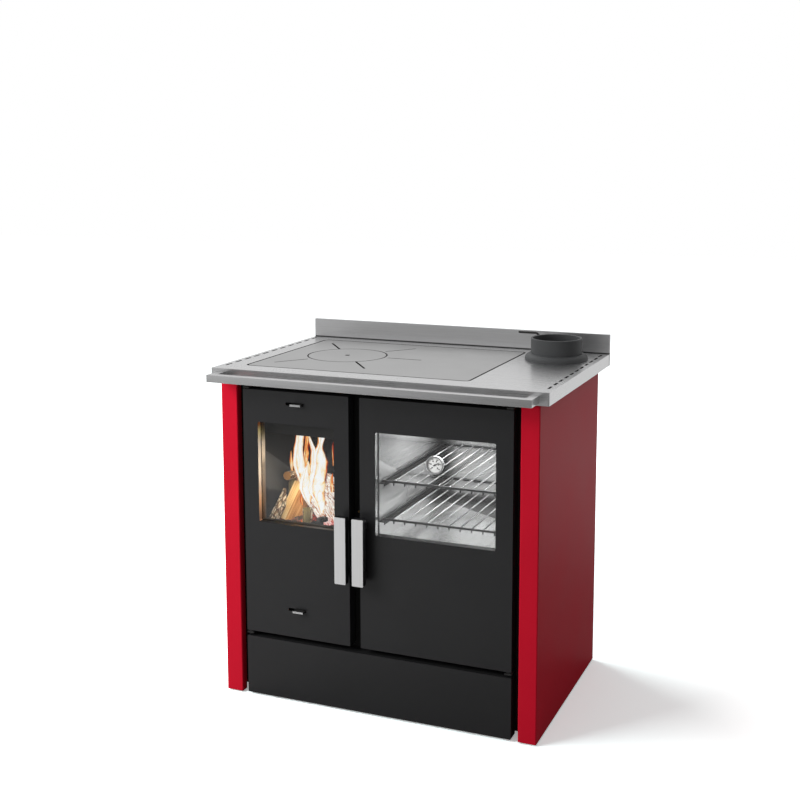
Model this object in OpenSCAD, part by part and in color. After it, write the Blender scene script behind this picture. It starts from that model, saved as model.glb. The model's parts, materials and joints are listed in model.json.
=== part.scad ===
// Wood-burning cook stove: fire on the left, oven on the right, hob and flue outlet on top.
// Millimetres, +Z up, +X to the right of someone facing the doors, who looks along +Y.
// The origin is on the floor under the middle of the stove, handrail included.

/* [Worktop] */
// Width of the worktop
top_w = 900; // [880:5:1000]
// Depth of the worktop
top_d = 600; // [590:5:680]
// Height of the worktop above the floor
top_z = 870; // [860:5:920]
// Height of the folded edge
edge_h = 32; // [26:1:40]
// Thickness of the worktop sheet
top_t = 2; // [1.5:0.5:3]
// Width of the lip turned in under the edge
lip_w = 28; // [26:1:40]
// How far the worktop stands in front of the doors
front_over = 8.5; // [4:0.5:16]
// Height of the rear upstand above the worktop
splash_h = 54; // [30:1:90]
// Thickness of the rear upstand
splash_d = 10; // [8:1:16]
// Wall of the rear upstand
splash_t = 1.5; // [1:0.5:2.5]

/* [Vent slots] */
// Slots along each side
vent_count = 11; // [5:1:11]
// Last slot's centre from the worktop's rear edge
vent_back = 49; // [40:0.5:70]
// Length of a slot
vent_l = 30; // [16:1:34]
// Width of a slot
vent_w = 4.5; // [2:0.5:6]
// Slots' distance from the worktop's side edge
vent_in = 16.5; // [10:0.5:18]
// First slot's centre behind the door fronts
vent_first = 53.5; // [40:0.5:55]

/* [Body] */
// How far the worktop stands out past each side panel
side_over = 23.5; // [18:0.5:30]
// How far the worktop stands out behind the body
rear_over = 34.5; // [24:0.5:40]
// Thickness of the side panels
panel_t = 2; // [1.5:0.5:3]
// Width of a side panel's front flange
flange_w = 46.6; // [42:0.2:52]
// Depth of the return behind the flange
return_d = 22; // [14:1:30]
// Width of a side panel's rear flange
rear_flange = 25; // [18:1:36]
// Outer radius of the panel bends
bend_r = 3; // [2.5:0.5:5]
// Height of the panels off the floor
panel_z = 4; // [2:1:8]
// Thickness of the rear panel
back_t = 2; // [1:0.5:3]
// Slots in a row of the rear panel
louvre_count = 7; // [3:1:8]
// Distance from a field of slots to the panel's end
louvre_in = 60; // [30:1:90]
// Rows of slots in each field of the rear panel
louvre_rows = 4; // [2:1:6]
// Length of a rear panel slot
louvre_l = 70; // [40:1:76]
// Height of a rear panel slot
louvre_h = 7; // [4:1:10]

/* [Base frame] */
// Side of the frame's square tube
tube_w = 25; // [22:1:27]
// Underside of the frame above the floor
base_z = 12; // [10:1:16]
// Radius of a foot's pad
foot_r = 20; // [14:1:24]
// Thickness of a foot's pad
foot_h = 5; // [4:1:8]
// Gap from the front plate and from the base's rear to the feet's centres
foot_in = 40; // [30:1:60]
// Radius of a foot's stud
stud_r = 6; // [4:1:8]

/* [Doors] */
// Gap between a side flange and the door beside it
side_gap = 17.2; // [15:0.2:20]
// Gap from the doors to the worktop edge above
head_gap = 18; // [17:0.5:24]
// Gap between the two doors
door_gap = 29.7; // [27:0.1:32]
// Width of the fire door
fire_w = 297.4; // [294:0.2:302]
// Thickness of the doors
door_t = 36; // [35:1:40]
// Thickness of the door skins
skin_t = 2; // [1.5:0.5:2.5]
// Width of the lip behind a door's edge
skin_lip = 8; // [5:1:10]
// Height of both windows
win_h = 262; // [240:1:280]
// Window's top edge below the door's top
win_drop = 83.5; // [78:0.5:90]
// Fire window's right edge from the door's right edge
fire_win_right = 40.6; // [40:0.2:46]
// Fire window's left edge from the door's left edge
fire_win_in = 41.8; // [40:0.2:46]
// Oven window's left edge from the door's left edge
oven_win_left = 42.3; // [42:0.1:48]
// Oven window's right edge from the door's right edge
oven_win_in = 43.1; // [42:0.1:48]
// Corner radius of the windows
win_r = 4; // [2:1:8]
// Depth of the glass behind the door's front
glass_in = 14; // [13:0.5:16]
// Thickness of the glass
glass_t = 4; // [3:0.5:5]
// How far the glass reaches past the window
glass_edge = 14; // [12:1:16]
// Width of the solid rim round a door's inner frame
rim_w = 30; // [28:1:32]
// Thickness of the inner frame's rear wall
frame_t = 6; // [4:1:8]
// Wall of the inner frame round the window
win_wall = 8; // [6:1:8]

/* [Door seals and hinges] */
// Width of the rope seal
seal_w = 10; // [8:1:10]
// Depth of the groove that holds the seal
groove_d = 3.5; // [2:0.5:5]
// Seal's distance from the door's edge
seal_in = 16; // [16:1:18]
// Hinge axis from the door's edge and from its front
hinge_in = 9; // [9:0.5:11]
// Radius of the hinge pins
pin_r = 4; // [3:0.5:4.5]
// Length of a hinge pin inside the door
pin_l = 18; // [12:1:24]
// Thickness of the hinge brackets
bracket_t = 4; // [3:0.5:5]
// Radial clearance of a pin or shaft that turns
turn_fit = 0.08; // [0.05:0.01:0.1]

/* [Handles] */
// Width of a handle
handle_w = 30; // [24:1:31]
// Height of a handle
handle_h = 171; // [140:1:200]
// Lower end of the handles above the doors' lower edge
handle_up = 174; // [150:1:200]
// Front face of a handle in front of the door
handle_out = 37; // [34:1:44]
// Thickness of the steel facing
facing_t = 2; // [1.5:0.5:3]
// Depth of the black grip behind the facing
grip_d = 16; // [12:1:18]
// How far a handle overhangs its door's edge
handle_over = 6; // [4:0.5:6.5]
// Latches above the doors' lower edge
latch_up = 343; // [320:1:380]
// Thickness of a latch's tongue
latch_t = 5; // [4:0.5:6]
// Latch tongue's distance from the door's free edge
latch_in = 6.5; // [6:0.5:7.5]
// Side room of a tongue in its slot
latch_room = 3; // [2.5:0.5:3.5]
// Width and height of a handle's standoffs
post_w = 16; // [12:1:16]
// Standoff's distance from the end of the handle
post_in = 14; // [8:1:30]

/* [Air regulators] */
// Upper slot below the door's top
upper_slot_drop = 30.5; // [30.5:0.5:33]
// Lower slot above the door's lower edge
lower_slot_up = 73; // [64:0.5:90]
// Slots' centre from the fire door's left edge
slot_in = 148.2; // [140:0.2:156]
// Length of a slot
slot_w = 51; // [49:1:58]
// Height of a slot
slot_h = 8; // [7:0.5:9]
// Width of a regulator's tab
tab_w = 29; // [24:1:29]
// Thickness of a tab
tab_h = 5; // [3:0.5:6]
// How far a tab stands out of the door
tab_out = 15; // [12:1:18]
// Length of the tab's steel tip
tip_l = 4; // [3:0.5:6]
// Tab's place to the right of the slot's centre
tab_x = 8.5; // [4:0.5:9]
// Width of the sliding shutter
shutter_w = 86; // [82:1:92]
// Width of the guides that hold the shutter
guide_w = 116; // [112:1:120]
// Height of the sliding shutter
shutter_h = 20; // [18:1:22]
// Thickness of the sliding shutter
shutter_t = 2; // [1.5:0.5:2.5]
// Radius of the air holes
air_r = 4; // [3:0.5:4]
// Distance from air hole to air hole
air_pitch = 24; // [20:1:26]

/* [Drawer] */
// Top edge of the drawer front above the floor
drawer_top = 162; // [156:1:166]
// Lower edge of the drawer front above the floor
drawer_z = 6; // [4:1:10]
// Gap from the drawer front to the doors
drawer_gap = 15; // [13:1:17]
// Gap from the drawer's box to the corner posts
drawer_room = 56; // [48:1:80]
// Gap from the drawer's box to the casing's rear face
drawer_back = 59; // [50:1:120]
// Height of the drawer's box
drawer_h = 96; // [80:1:100]
// Sheet thickness of the drawer's box
drawer_t = 1.5; // [1:0.5:2.5]
// Thickness of the drawer's slides
slide_t = 6; // [4:1:8]
// Height of a drawer runner
runner_h = 22; // [16:1:26]

/* [Front plate and casing] */
// Gap between the closed doors and the front plate
close_gap = 2.3; // [2.3:0.1:3]
// Thickness of the front plate
plate_t = 3; // [3:0.5:4]
// Wall of the smoke casing
casing_t = 2.5; // [2:0.5:3]
// Gap from the corner posts to the smoke casing
casing_gap = 22; // [20:1:24]
// Gap from the casing to the rear of the body
casing_back = 6; // [5:1:8]
// Gap from the drawer front up to the casing
casing_up = 10; // [8:1:12]
// Underside of the top plate below the worktop
top_plate_drop = 20; // [18:1:22]
// Thickness of the top plate
top_plate_t = 4; // [3:0.5:5]
// Height of the smoke passage under the oven
smoke_under = 60; // [40:1:80]
// Height of the flue box at the casing's side
flue_box_h = 90; // [70:1:120]
// Gap from the flue box's wall to the spigot
flue_box_gap = 3; // [2:0.5:5]

/* [Firebox] */
// How much wider than its window the firebox is, each side
fire_margin = 10; // [8:1:11]
// Firebox floor below the fire window
fire_floor_drop = 34.5; // [30:0.5:40]
// Top of the fire opening below the window's top
fire_head_drop = 35.5; // [12:0.5:50]
// Gap from the front plate to the linings
lining_in = 10.7; // [10.5:0.1:16]
// Gap from the casing to the face of the rear lining
fire_back = 71; // [60:1:100]
// Thickness of the linings
lining_t = 25; // [20:1:25]
// Height of the side linings
lining_h = 330; // [300:1:350]
// Height of the lining beside the oven
lining_right_h = 315; // [280:1:330]
// Wall of the firebox shell
shell_t = 3; // [2:0.5:4]
// Width of the grate
grate_w = 156; // [120:1:180]
// Depth of the grate
grate_d = 290; // [240:1:320]
// Thickness of the grate
grate_t = 10; // [6:1:14]
// Width of a bar and of a gap in the grate
grate_bar = 10; // [8:1:12]
// Width of the ash pan
pan_w = 200; // [160:1:210]
// Width of the ash pan's front lip for the fingers
pan_grip_w = 70; // [50:1:100]
// Depth of the ash pan
pan_d = 390; // [320:1:400]
// Height of the ash pan
pan_h = 80; // [60:1:90]
// Top of the ash pan below the firebox floor
pan_drop = 24; // [20:1:30]
// Sheet thickness of the ash pan
pan_t = 1.5; // [1:0.5:2]

/* [Oven] */
// How much wider than its window the oven is, each side
oven_margin = 12.5; // [10:0.5:13]
// How much taller than its window the oven is, each end
oven_margin_z = 29.5; // [26:0.5:34]
// Gap from the casing to the rear wall of the oven
oven_back = 56; // [50:1:80]
// Sheet thickness of the oven
oven_t = 2; // [1:0.5:2.5]
// Width of the flange round the oven's mouth
oven_flange = 8; // [6:1:10]
// Height of the lower rack above the oven floor
rack_low = 55; // [40:1:80]
// Distance from the lower rack to the upper one
rack_step = 99; // [80:1:120]
// Width of a rack guide's ledge
ledge_w = 16; // [12:1:22]
// Depth of the lip under a ledge
ledge_lip = 7; // [5:1:10]
// Sheet thickness of the rack guides
ledge_t = 1.5; // [1:0.5:2]
// Radius of a rack's outer bars
rack_bar_r = 3; // [2:0.5:3.5]
// Radius of a rack's wires
wire_r = 2; // [1.5:0.5:2.5]
// Wires in a rack
wire_count = 10; // [6:1:11]
// Length of the wire ends turned down in front
wire_stub = 9; // [6:1:12]
// Front bar of a rack behind the door fronts
rack_front = 62; // [55:1:80]
// Clearance between a rack and the oven's walls
rack_gap = 3; // [2:0.5:5]

/* [Oven thermometer] */
// Radius of the thermometer's case
dial_case_r = 22.6; // [18:0.2:26]
// Width of the case's front rim
dial_rim = 3.4; // [2:0.2:4]
// Thermometer's centre below the window's top
dial_drop = 67; // [50:0.5:90]
// Depth of the dial below the rim
dial_in = 3; // [2.5:0.5:4]
// Length of the needle
needle_l = 14; // [10:0.5:15]
// Width of the needle
needle_w = 1.8; // [1:0.1:3]
// Direction of the needle, clockwise from straight up
needle_deg = 60; // [0:5:90]

/* [Hob] */
// Right edge of the hob plate from the worktop's right edge
hob_right = 223.5; // [222:0.5:240]
// Rear edge of the hob plate from the worktop's rear edge
hob_back = 64.5; // [60:0.5:80]
// Thickness of the hob plate
hob_t = 8; // [6:1:9]
// Left edge of the hob plate from the worktop's left edge
hob_in = 65.5; // [65:0.5:68]
// Front edge of the hob plate behind the door fronts
hob_front = 60; // [58:1:64]
// Corner radius of the hob plate
hob_r = 12; // [6:1:16]
// Gap round the hob plate
hob_gap = 3.5; // [1:0.5:4]
// Radius of the round lid
lid_r = 106.5; // [90:0.5:110]
// Thickness of the lid's rim
lid_t = 5; // [3:0.5:6]
// Width of the ledge that carries the lid
lid_ledge = 9; // [6:1:12]
// Gap round the lid
lid_gap = 2; // [0.5:0.5:2.5]
// Lid's centre from the hob plate's left edge
lid_x = 176.5; // [160:0.5:190]
// Lid's centre from the hob plate's front edge
lid_d = 238; // [226:1:240]
// Radius of the hole for the lid lifter
lifter_r = 6; // [4:0.5:8]
// Start of the three short slits from the lid's centre
slit_start = 120; // [112:1:130]
// How far the slits reach from the lid's centre
slit_end = 216; // [180:1:218]
// Width of the three short slits
slit_w = 3; // [1.5:0.5:4]
// Width of the two slits that start at the lid
slit_long_w = 4; // [1.5:0.5:5]
// Width of the ring that carries the hob plate
carrier_w = 12; // [10:1:14]

/* [Flue outlet] */
// Outer radius of the flue spigot
flue_r = 68; // [60:0.5:75]
// Wall of the flue spigot
flue_t = 6; // [4:0.5:8]
// Height of the spigot above the worktop
flue_h = 58.4; // [48:0.2:80]
// Radius of the spigot's flange
collar_r = 84; // [80:0.5:88]
// Height of the spigot's flange
collar_h = 17.5; // [12:0.5:20]
// Spigot's centre from the worktop's right edge
flue_in = 112.4; // [105:0.2:113]
// Spigot's centre from the rear of the body
flue_back = 110.7; // [104:0.1:120]

/* [Flue damper] */
// Radius of the damper's rod
rod_r = 3; // [2:0.5:3]
// Rod's distance from the worktop's right edge
rod_in = 188; // [184:1:192]
// Rod from the rear of the body
rod_back = 17; // [15:1:18]
// Height of the level handle above the worktop
rod_up = 54; // [48:1:60]
// Reach of the level handle from the rod
rod_reach = 57; // [40:1:60]
// Radius of the rod's bend
rod_bend = 12; // [8:1:14]
// Width of the damper's flap
flap_w = 68; // [50:1:68]
// Height of the damper's flap
flap_h = 56; // [40:1:58]

/* [Handrail] */
// How far the rail stands out from the worktop
rail_out = 62; // [50:1:80]
// Depth of the rail's tube
rail_d = 20; // [16:1:22]
// Height of the rail's tube
rail_h = 19; // [16:1:22]
// Top of the rail below the worktop's top
rail_drop = 7; // [5:1:9]
// Rail's ends from the worktop's sides
rail_in = 23.3; // [10:0.1:40]
// Wall of the rail's tube
rail_t = 1.5; // [1:0.5:2.5]

/* [Hidden] */
$fn = 64;
// Clearance between pieces that rest on or stand beside each other
seat = 0.3;
// Overlap that joins two shapes of one piece
weld = 0.01;
// Length of a cut that passes right through
through = 40;

// Depths are measured back from the door fronts, which lie at front_y.
front_y = -(rail_out + top_d) / 2 + rail_out + front_over;
top_x = top_w / 2;
top_front = -front_over;
top_rear = top_d - front_over;
top_under = top_z - top_t;
edge_z = top_z - edge_h;
side_x = top_x - side_over;
body_d = top_rear - rear_over;
vent_pitch = (top_rear - vent_back - vent_first) / (vent_count - 1);
flange_x = side_x - flange_w;
panel_in = side_x - panel_t;

// Doors and drawer
door_x = flange_x - side_gap;
door_z1 = edge_z - head_gap;
door_z0 = drawer_top + drawer_gap;
upper_slot_z = door_z1 - upper_slot_drop;
lower_slot_z = door_z0 + lower_slot_up;
handle_z = door_z0 + handle_up;
latch_z = door_z0 + latch_up;
fire_x0 = -door_x;
fire_x1 = fire_x0 + fire_w;
oven_x0 = fire_x1 + door_gap;
oven_x1 = door_x;
win_z1 = door_z1 - win_drop;
win_z0 = win_z1 - win_h;
fire_win_x0 = fire_x0 + fire_win_in;
fire_win_x1 = fire_x1 - fire_win_right;
oven_win_x1 = oven_x1 - oven_win_in;
oven_win_x0 = oven_x0 + oven_win_left;
glass_d = glass_in + glass_t;
frame_in = skin_t + seat;
fire_hinge_x = fire_x0 + hinge_in;
oven_hinge_x = oven_x1 - hinge_in;

// Front plate, casing and frame
plate_d0 = door_t + close_gap;
plate_d1 = plate_d0 + plate_t;
post_x1 = top_x - lip_w - 1;
post_x0 = post_x1 - tube_w;
base_top = base_z + tube_w;
lining_d = plate_d1 + lining_in;
back_d = body_d - panel_t - back_t;
casing_d = body_d - casing_back;
base_d1 = casing_d;
fire_d = casing_d - fire_back;
casing_x = post_x0 - casing_gap;
casing_z = drawer_top + casing_up;
plate_under = top_z - top_plate_drop;
plate_top = plate_under + top_plate_t;
casing_in = casing_x - casing_t;

// Firebox
fire_in_x0 = fire_win_x0 - fire_margin;
fire_in_x1 = fire_win_x1 + fire_margin;
fire_in_mid = (fire_in_x0 + fire_in_x1) / 2;
fire_floor = win_z0 - fire_floor_drop;
fire_head = win_z1 - fire_head_drop;
shell_x0 = fire_in_x0 - lining_t;
shell_x1 = fire_in_x1 + lining_t;
fire_rear = fire_d + lining_t;
grate_front = (lining_d + fire_d - grate_d) / 2;
pan_top = fire_floor - pan_drop;
pan_z = pan_top - pan_h;
pan_front = lining_d + 14;
shelf_t = 4;

// Oven
oven_in_x0 = oven_win_x0 - oven_margin;
oven_in_x1 = oven_win_x1 + oven_margin;
oven_floor = win_z0 - oven_margin_z;
oven_roof = win_z1 + oven_margin_z;
oven_d = casing_d - oven_back;
rack_zs = [oven_floor + rack_low, oven_floor + rack_low + rack_step];
rack_x0 = oven_in_x0 + rack_gap + rack_bar_r;
rack_x1 = oven_in_x1 - rack_gap - rack_bar_r;
rack_rear = oven_d - rack_gap - rack_bar_r;
wire_pitch = (rack_x1 - rack_x0) / (wire_count + 1);
dial_z = win_z1 - dial_drop;
dial_x = (oven_win_x0 + oven_win_x1) / 2;
dial_r = dial_case_r - dial_rim;

// Hob
hob_x0 = -top_x + hob_in;
hob_x1 = top_x - hob_right;
hob_rear = top_rear - hob_back;
hob_under = top_z - hob_t;
ledge_r = lid_r + lid_gap - lid_ledge;
// Direction and start of each expansion slit, seen from above, from the lid's centre
short_slits = [0, 53, -127];
long_slits = [127, -53];
lid_cx = hob_x0 + lid_x;
lid_cd = hob_front + lid_d;
carrier_top = plate_top + 5;

// Flue and damper
flue_x = top_x - flue_in;
flue_d = body_d - flue_back;
rod_d = body_d - rod_back;
rod_x = top_x - rod_in;
divider_x = rod_x - rod_r - 1;
flap_top = plate_under - 5;

// Plain shapes

// Box between two x, two depths and two heights
module block(x0, x1, d0, d1, z0, z1) {
    translate([x0, front_y + d0, z0]) cube([x1 - x0, d1 - d0, z1 - z0]);
}

// Flat rectangle, with round corners if r is given
module rect(x0, x1, y0, y1, r = 0) {
    if (r > 0) {
        translate([x0 + r, y0]) square([x1 - x0 - 2 * r, y1 - y0]);
        translate([x0, y0 + r]) square([x1 - x0, y1 - y0 - 2 * r]);
        for (x = [x0 + r, x1 - r], y = [y0 + r, y1 - r]) translate([x, y]) circle(r);
    } else {
        translate([x0, y0]) square([x1 - x0, y1 - y0]);
    }
}

// Upright plate: a shape drawn in x and z, from depth d0 to d1
module upright(d0, d1) {
    translate([0, front_y + d1, 0]) rotate([90, 0, 0]) linear_extrude(d1 - d0) children();
}

// Level plate: a shape drawn in x and depth, from height z0 to z1
module level(z0, z1) {
    translate([0, front_y, z0]) linear_extrude(z1 - z0) children();
}

// Round bar along z at x and depth d
module post(x, d, z0, z1, r) {
    translate([x, front_y + d, z0]) cylinder(r = r, h = z1 - z0);
}

// Round bar from front to back
module bar_back(x, z, d0, d1, r) {
    translate([x, front_y + d1, z]) rotate([90, 0, 0]) cylinder(r = r, h = d1 - d0);
}

// Round bar from left to right
module bar_across(x0, x1, d, z, r) {
    translate([x0, front_y + d, z]) rotate([0, 90, 0]) cylinder(r = r, h = x1 - x0);
}

// Open box of sheet with no lid
module open_box(x0, x1, d0, d1, z0, z1, t) {
    difference() {
        block(x0, x1, d0, d1, z0, z1);
        block(x0 + t, x1 - t, d0 + t, d1 - t, z0 + t, z1 + 1);
    }
}

// Copy on the other side of the stove
module other_side() {
    mirror([1, 0, 0]) children();
}

// Outer shells

module side_panel() {
    color("crimson") level(panel_z, edge_z) difference() {
        rect(flange_x, side_x, 0, body_d, bend_r);
        rect(flange_x + panel_t, panel_in, panel_t, body_d - panel_t, bend_r - panel_t);
        rect(flange_x - 1, side_x - rear_flange, return_d, body_d + 1);
        rect(flange_x - 1, panel_in - bend_r, return_d, body_d - panel_t);
    }
}

module side_panel_right() {
    side_panel();
}

module side_panel_left() {
    other_side() side_panel();
}

module back_panel() {
    pitch = 2 * panel_in / (louvre_count + 2);
    rows_z = [base_top + louvre_in, edge_z - louvre_in - (louvre_rows - 1) * 2 * louvre_h];
    color("dimgray") upright(back_d, back_d + back_t) difference() {
        rect(-panel_in + bend_r, panel_in - bend_r, base_top, edge_z);
        for (i = [0 : louvre_count - 1], z = rows_z, j = [0 : louvre_rows - 1]) {
            x = (i - (louvre_count - 1) / 2) * pitch;
            h = z + j * 2 * louvre_h;
            rect(x - louvre_l / 2, x + louvre_l / 2, h, h + louvre_h, louvre_h / 2 - 0.2);
        }
    }
}

module base_frame() {
    color("dimgray") {
        level(base_z, base_top) difference() {
            rect(-panel_in, panel_in, plate_d1, base_d1);
            rect(-post_x0, post_x0, plate_d1 + tube_w, base_d1 - tube_w);
        }
        for (side = [0, 1], d = [plate_d1, base_d1 - tube_w]) mirror([side, 0, 0]) {
            block(post_x0, post_x1, d, d + tube_w, base_top - weld, top_under);
        }
    }
}

module levelling_feet() {
    color("black") for (x = [-post_x0 - 4, post_x0 + 4], d = [plate_d1 + foot_in, base_d1 - foot_in]) {
        post(x, d, 0, foot_h, foot_r);
        post(x, d, foot_h - weld, base_z, stud_r);
    }
}

module front_frame() {
    color("black") upright(plate_d0, plate_d1) difference() {
        rect(-post_x1, post_x1, base_z, edge_z - 2);
        rect(-drawer_x - 14, drawer_x + 14, base_top + 3, casing_z - 20);
        rect(fire_in_x0, fire_in_x1, pan_z - 12, fire_floor - 12, win_r);
        rect(fire_in_x0, fire_in_x1, fire_floor, fire_head, win_r);
        rect(oven_in_x0, oven_in_x1, oven_floor, oven_roof, win_r);
        for (x = [fire_latch_x, oven_latch_x]) {
            rect(x - latch_room, x + latch_t + latch_room, latch_z - 16, latch_z + 16, 1);
        }
        translate([keeper_screw_x, latch_z]) circle(screw_r + 0.1);
    }
}

// Casing, firebox and oven

module smoke_casing() {
    shelf = oven_floor - oven_t - smoke_under;
    reach = flue_r + flue_box_gap;
    box_x = flue_x + reach;
    box_z = plate_under - flue_box_h;
    t = casing_t;
    color("gray") {
        difference() {
            union() {
                block(-casing_x, casing_x, plate_d1, casing_d, casing_z, plate_under);
                block(casing_in, box_x + t, flue_d - reach - t, flue_d + reach + t, box_z, plate_under);
            }
            block(-casing_in, casing_in, plate_d1 - 1, casing_d - t, casing_z + t, plate_under + 1);
            block(casing_in - 1, box_x, flue_d - reach, flue_d + reach, box_z + t, plate_under + 1);
        }
        block(shell_x1 + shell_t, casing_in + weld, plate_d1,
            casing_d - casing_t + weld, shelf - casing_t, shelf);
    }
}

module firebox_shell() {
    wall_z = casing_z + casing_t;
    color("dimgray") {
        difference() {
            block(shell_x0 - shell_t, shell_x1 + shell_t,
                plate_d1, fire_rear + shell_t, wall_z, plate_under);
            block(shell_x0, shell_x1, plate_d1 - 1, fire_rear, wall_z - 1, plate_under + 1);
            block(shell_x1 - 1, shell_x1 + shell_t + 1, lining_d,
                fire_rear, fire_floor + lining_right_h, plate_under + 1);
            keeper_notch();
        }
        difference() {
            block(shell_x0 - weld, shell_x1 + weld, plate_d1,
                fire_rear + weld, fire_floor - shelf_t, fire_floor);
            block(fire_in_mid - grate_w / 2 + 8, fire_in_mid + grate_w / 2 - 8,
                  grate_front + 8, grate_front + grate_d - 8, fire_floor - through, fire_floor + 1);
            keeper_notch();
        }
        for (side = [0, 1]) {
            x0 = side == 0 ? shell_x0 - weld : fire_in_mid + pan_w / 2 - 12;
            x1 = side == 0 ? fire_in_mid - pan_w / 2 + 12 : shell_x1 + weld;
            block(x0, x1, plate_d1 + 4, fire_rear - 30, pan_z - shelf_t, pan_z);
        }
    }
}

// Room for the fire door's latch keeper in the shell's front corner
module keeper_notch() {
    block(fire_latch_x - 6.5 - seat, shell_x1 + shell_t + 1, plate_d1 - 1,
        plate_d1 + keeper_d + seat, latch_z - 22 - seat, latch_z + 22 + seat);
}

module lining_left() {
    color("gray") block(shell_x0, fire_in_x0, lining_d, fire_rear, fire_floor, fire_floor + lining_h);
}

module lining_right() {
    color("gray") block(fire_in_x1, shell_x1, lining_d, fire_rear, fire_floor, fire_floor + lining_right_h);
}

module lining_back() {
    color("gray") block(fire_in_x0, fire_in_x1, fire_d, fire_rear, fire_floor, fire_floor + lining_h);
}

module fire_grate() {
    slots = floor((grate_w - grate_bar) / (2 * grate_bar));
    first = fire_in_mid - (2 * slots - 1) * grate_bar / 2;
    color("dimgray") level(fire_floor, fire_floor + grate_t) difference() {
        rect(fire_in_mid - grate_w / 2, fire_in_mid + grate_w / 2, grate_front, grate_front + grate_d, 6);
        for (i = [0 : slots - 1], half = [0, 1]) {
            x = first + i * 2 * grate_bar;
            length = (grate_d - 3 * 14) / 2;
            d = grate_front + 14 + half * (length + 14);
            rect(x, x + grate_bar, d, d + length, grate_bar / 2 - 0.5);
        }
    }
}

module ash_pan() {
    x0 = fire_in_mid - pan_w / 2;
    x1 = fire_in_mid + pan_w / 2;
    color("silver") {
        open_box(x0, x1, pan_front, pan_front + pan_d, pan_z, pan_top, pan_t);
        grip_x0 = fire_in_mid - pan_grip_w / 2;
        grip_x1 = fire_in_mid + pan_grip_w / 2;
        block(grip_x0, grip_x1, pan_front - 12, pan_front + weld, pan_top - 3, pan_top);
        block(grip_x0, grip_x1, pan_front - 12, pan_front - 10, pan_top - 18, pan_top - 3 + weld);
    }
}

module oven_cavity() {
    color("silver") {
        difference() {
            block(oven_in_x0 - oven_t, oven_in_x1 + oven_t, plate_d1, oven_d + oven_t,
                  oven_floor - oven_t, oven_roof + oven_t);
            block(oven_in_x0, oven_in_x1, plate_d1 - 1, oven_d, oven_floor, oven_roof);
        }
        upright(plate_d1, plate_d1 + oven_t) difference() {
            rect(oven_in_x0 - oven_flange, oven_in_x1 + oven_flange,
                oven_floor - oven_flange, oven_roof + oven_flange);
            rect(oven_in_x0 - weld, oven_in_x1 + weld, oven_floor - weld, oven_roof + weld);
        }
    }
}

module rack_guides() {
    color("silver") for (z = rack_zs) {
        top = z - rack_bar_r - seat;
        rack_guide(oven_in_x0, oven_in_x0 + ledge_w, oven_in_x0 + ledge_w - ledge_t, top);
        rack_guide(oven_in_x1 - ledge_w, oven_in_x1, oven_in_x1 - ledge_w, top);
    }
}

// One ledge and the lip that hangs from its free edge
module rack_guide(x0, x1, lip_x, top) {
    block(x0, x1, rack_front - 14, rack_rear, top - ledge_t, top);
    block(lip_x, lip_x + ledge_t, rack_front - 14, rack_rear, top - ledge_lip, top - ledge_t + weld);
}

module rack(z) {
    color("silver") {
        for (d = [rack_front, rack_rear]) bar_across(rack_x0, rack_x1, d, z, rack_bar_r);
        for (x = [rack_x0, rack_x1]) {
            bar_back(x, z, rack_front, rack_rear, rack_bar_r);
            for (d = [rack_front, rack_rear]) translate([x, front_y + d, z]) sphere(rack_bar_r);
        }
        for (i = [0 : wire_count - 1]) {
            x = rack_x0 + (i + 1) * wire_pitch;
            bar_back(x, z + wire_r / 2, rack_front, rack_rear, wire_r);
            post(x, rack_front, z - wire_stub, z, wire_r);
        }
    }
}

module oven_rack_lower() {
    rack(rack_zs[0]);
}

module oven_rack_upper() {
    rack(rack_zs[1]);
}

module bypass_divider() {
    z0 = oven_roof + oven_t;
    foot_z = flap_top - flap_h - 8;
    color("dimgray") {
        difference() {
            block(divider_x - 2, divider_x, plate_d1 + oven_t, casing_d - casing_t, z0, plate_under);
            block(divider_x - 3, divider_x + 1, rod_d - flap_w - 6, casing_d, foot_z + 5, plate_under + 1);
        }
        block(oven_in_x0 - oven_t, divider_x, oven_d + oven_t, casing_d - casing_t, oven_roof, z0);
        difference() {
            block(divider_x - weld, rod_x + rod_r + 4, rod_d - 7, casing_d - casing_t, foot_z, foot_z + 4);
            post(rod_x, rod_d, foot_z - 1, foot_z + 5, rod_r + turn_fit);
        }
    }
}

// Drawer

drawer_x = post_x0 - drawer_room;
runner_z = casing_z / 2;
slide_x = drawer_x + slide_t;

// Channel on each side that carries the drawer's slide, with a lug to each corner post
module drawer_runners() {
    half = runner_h / 2;
    x0 = slide_x + seat;
    d0 = plate_d1 + 2;
    d1 = casing_d - 2;
    color("silver") for (side = [0, 1]) mirror([side, 0, 0]) {
        block(x0, x0 + 2, d0, d1, runner_z - half, runner_z + half);
        for (z = [runner_z - half, runner_z + half - 1.7])
            block(drawer_x + 1, x0 + weld, d0, d1, z, z + 1.7);
        for (d = [d0, d1 - tube_w + 2])
            block(x0 + 2 - weld, post_x0, d, d + tube_w - 2, runner_z - half + 3, runner_z + half - 3);
    }
}

module drawer_front() {
    color([0.16, 0.16, 0.17]) tray(-door_x, door_x, drawer_z, drawer_top);
}

module drawer_box() {
    z0 = runner_z - drawer_h / 2 + 10;
    color("silver")
        open_box(-drawer_x, drawer_x, skin_t, casing_d - drawer_back, z0, z0 + drawer_h, drawer_t);
}

module drawer_slides() {
    color("silver") for (side = [0, 1]) mirror([side, 0, 0]) {
        block(drawer_x, slide_x, plate_d1 + 2, casing_d - drawer_back,
            runner_z - runner_h / 2 + 2, runner_z + runner_h / 2 - 2);
    }
}

// Top

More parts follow.
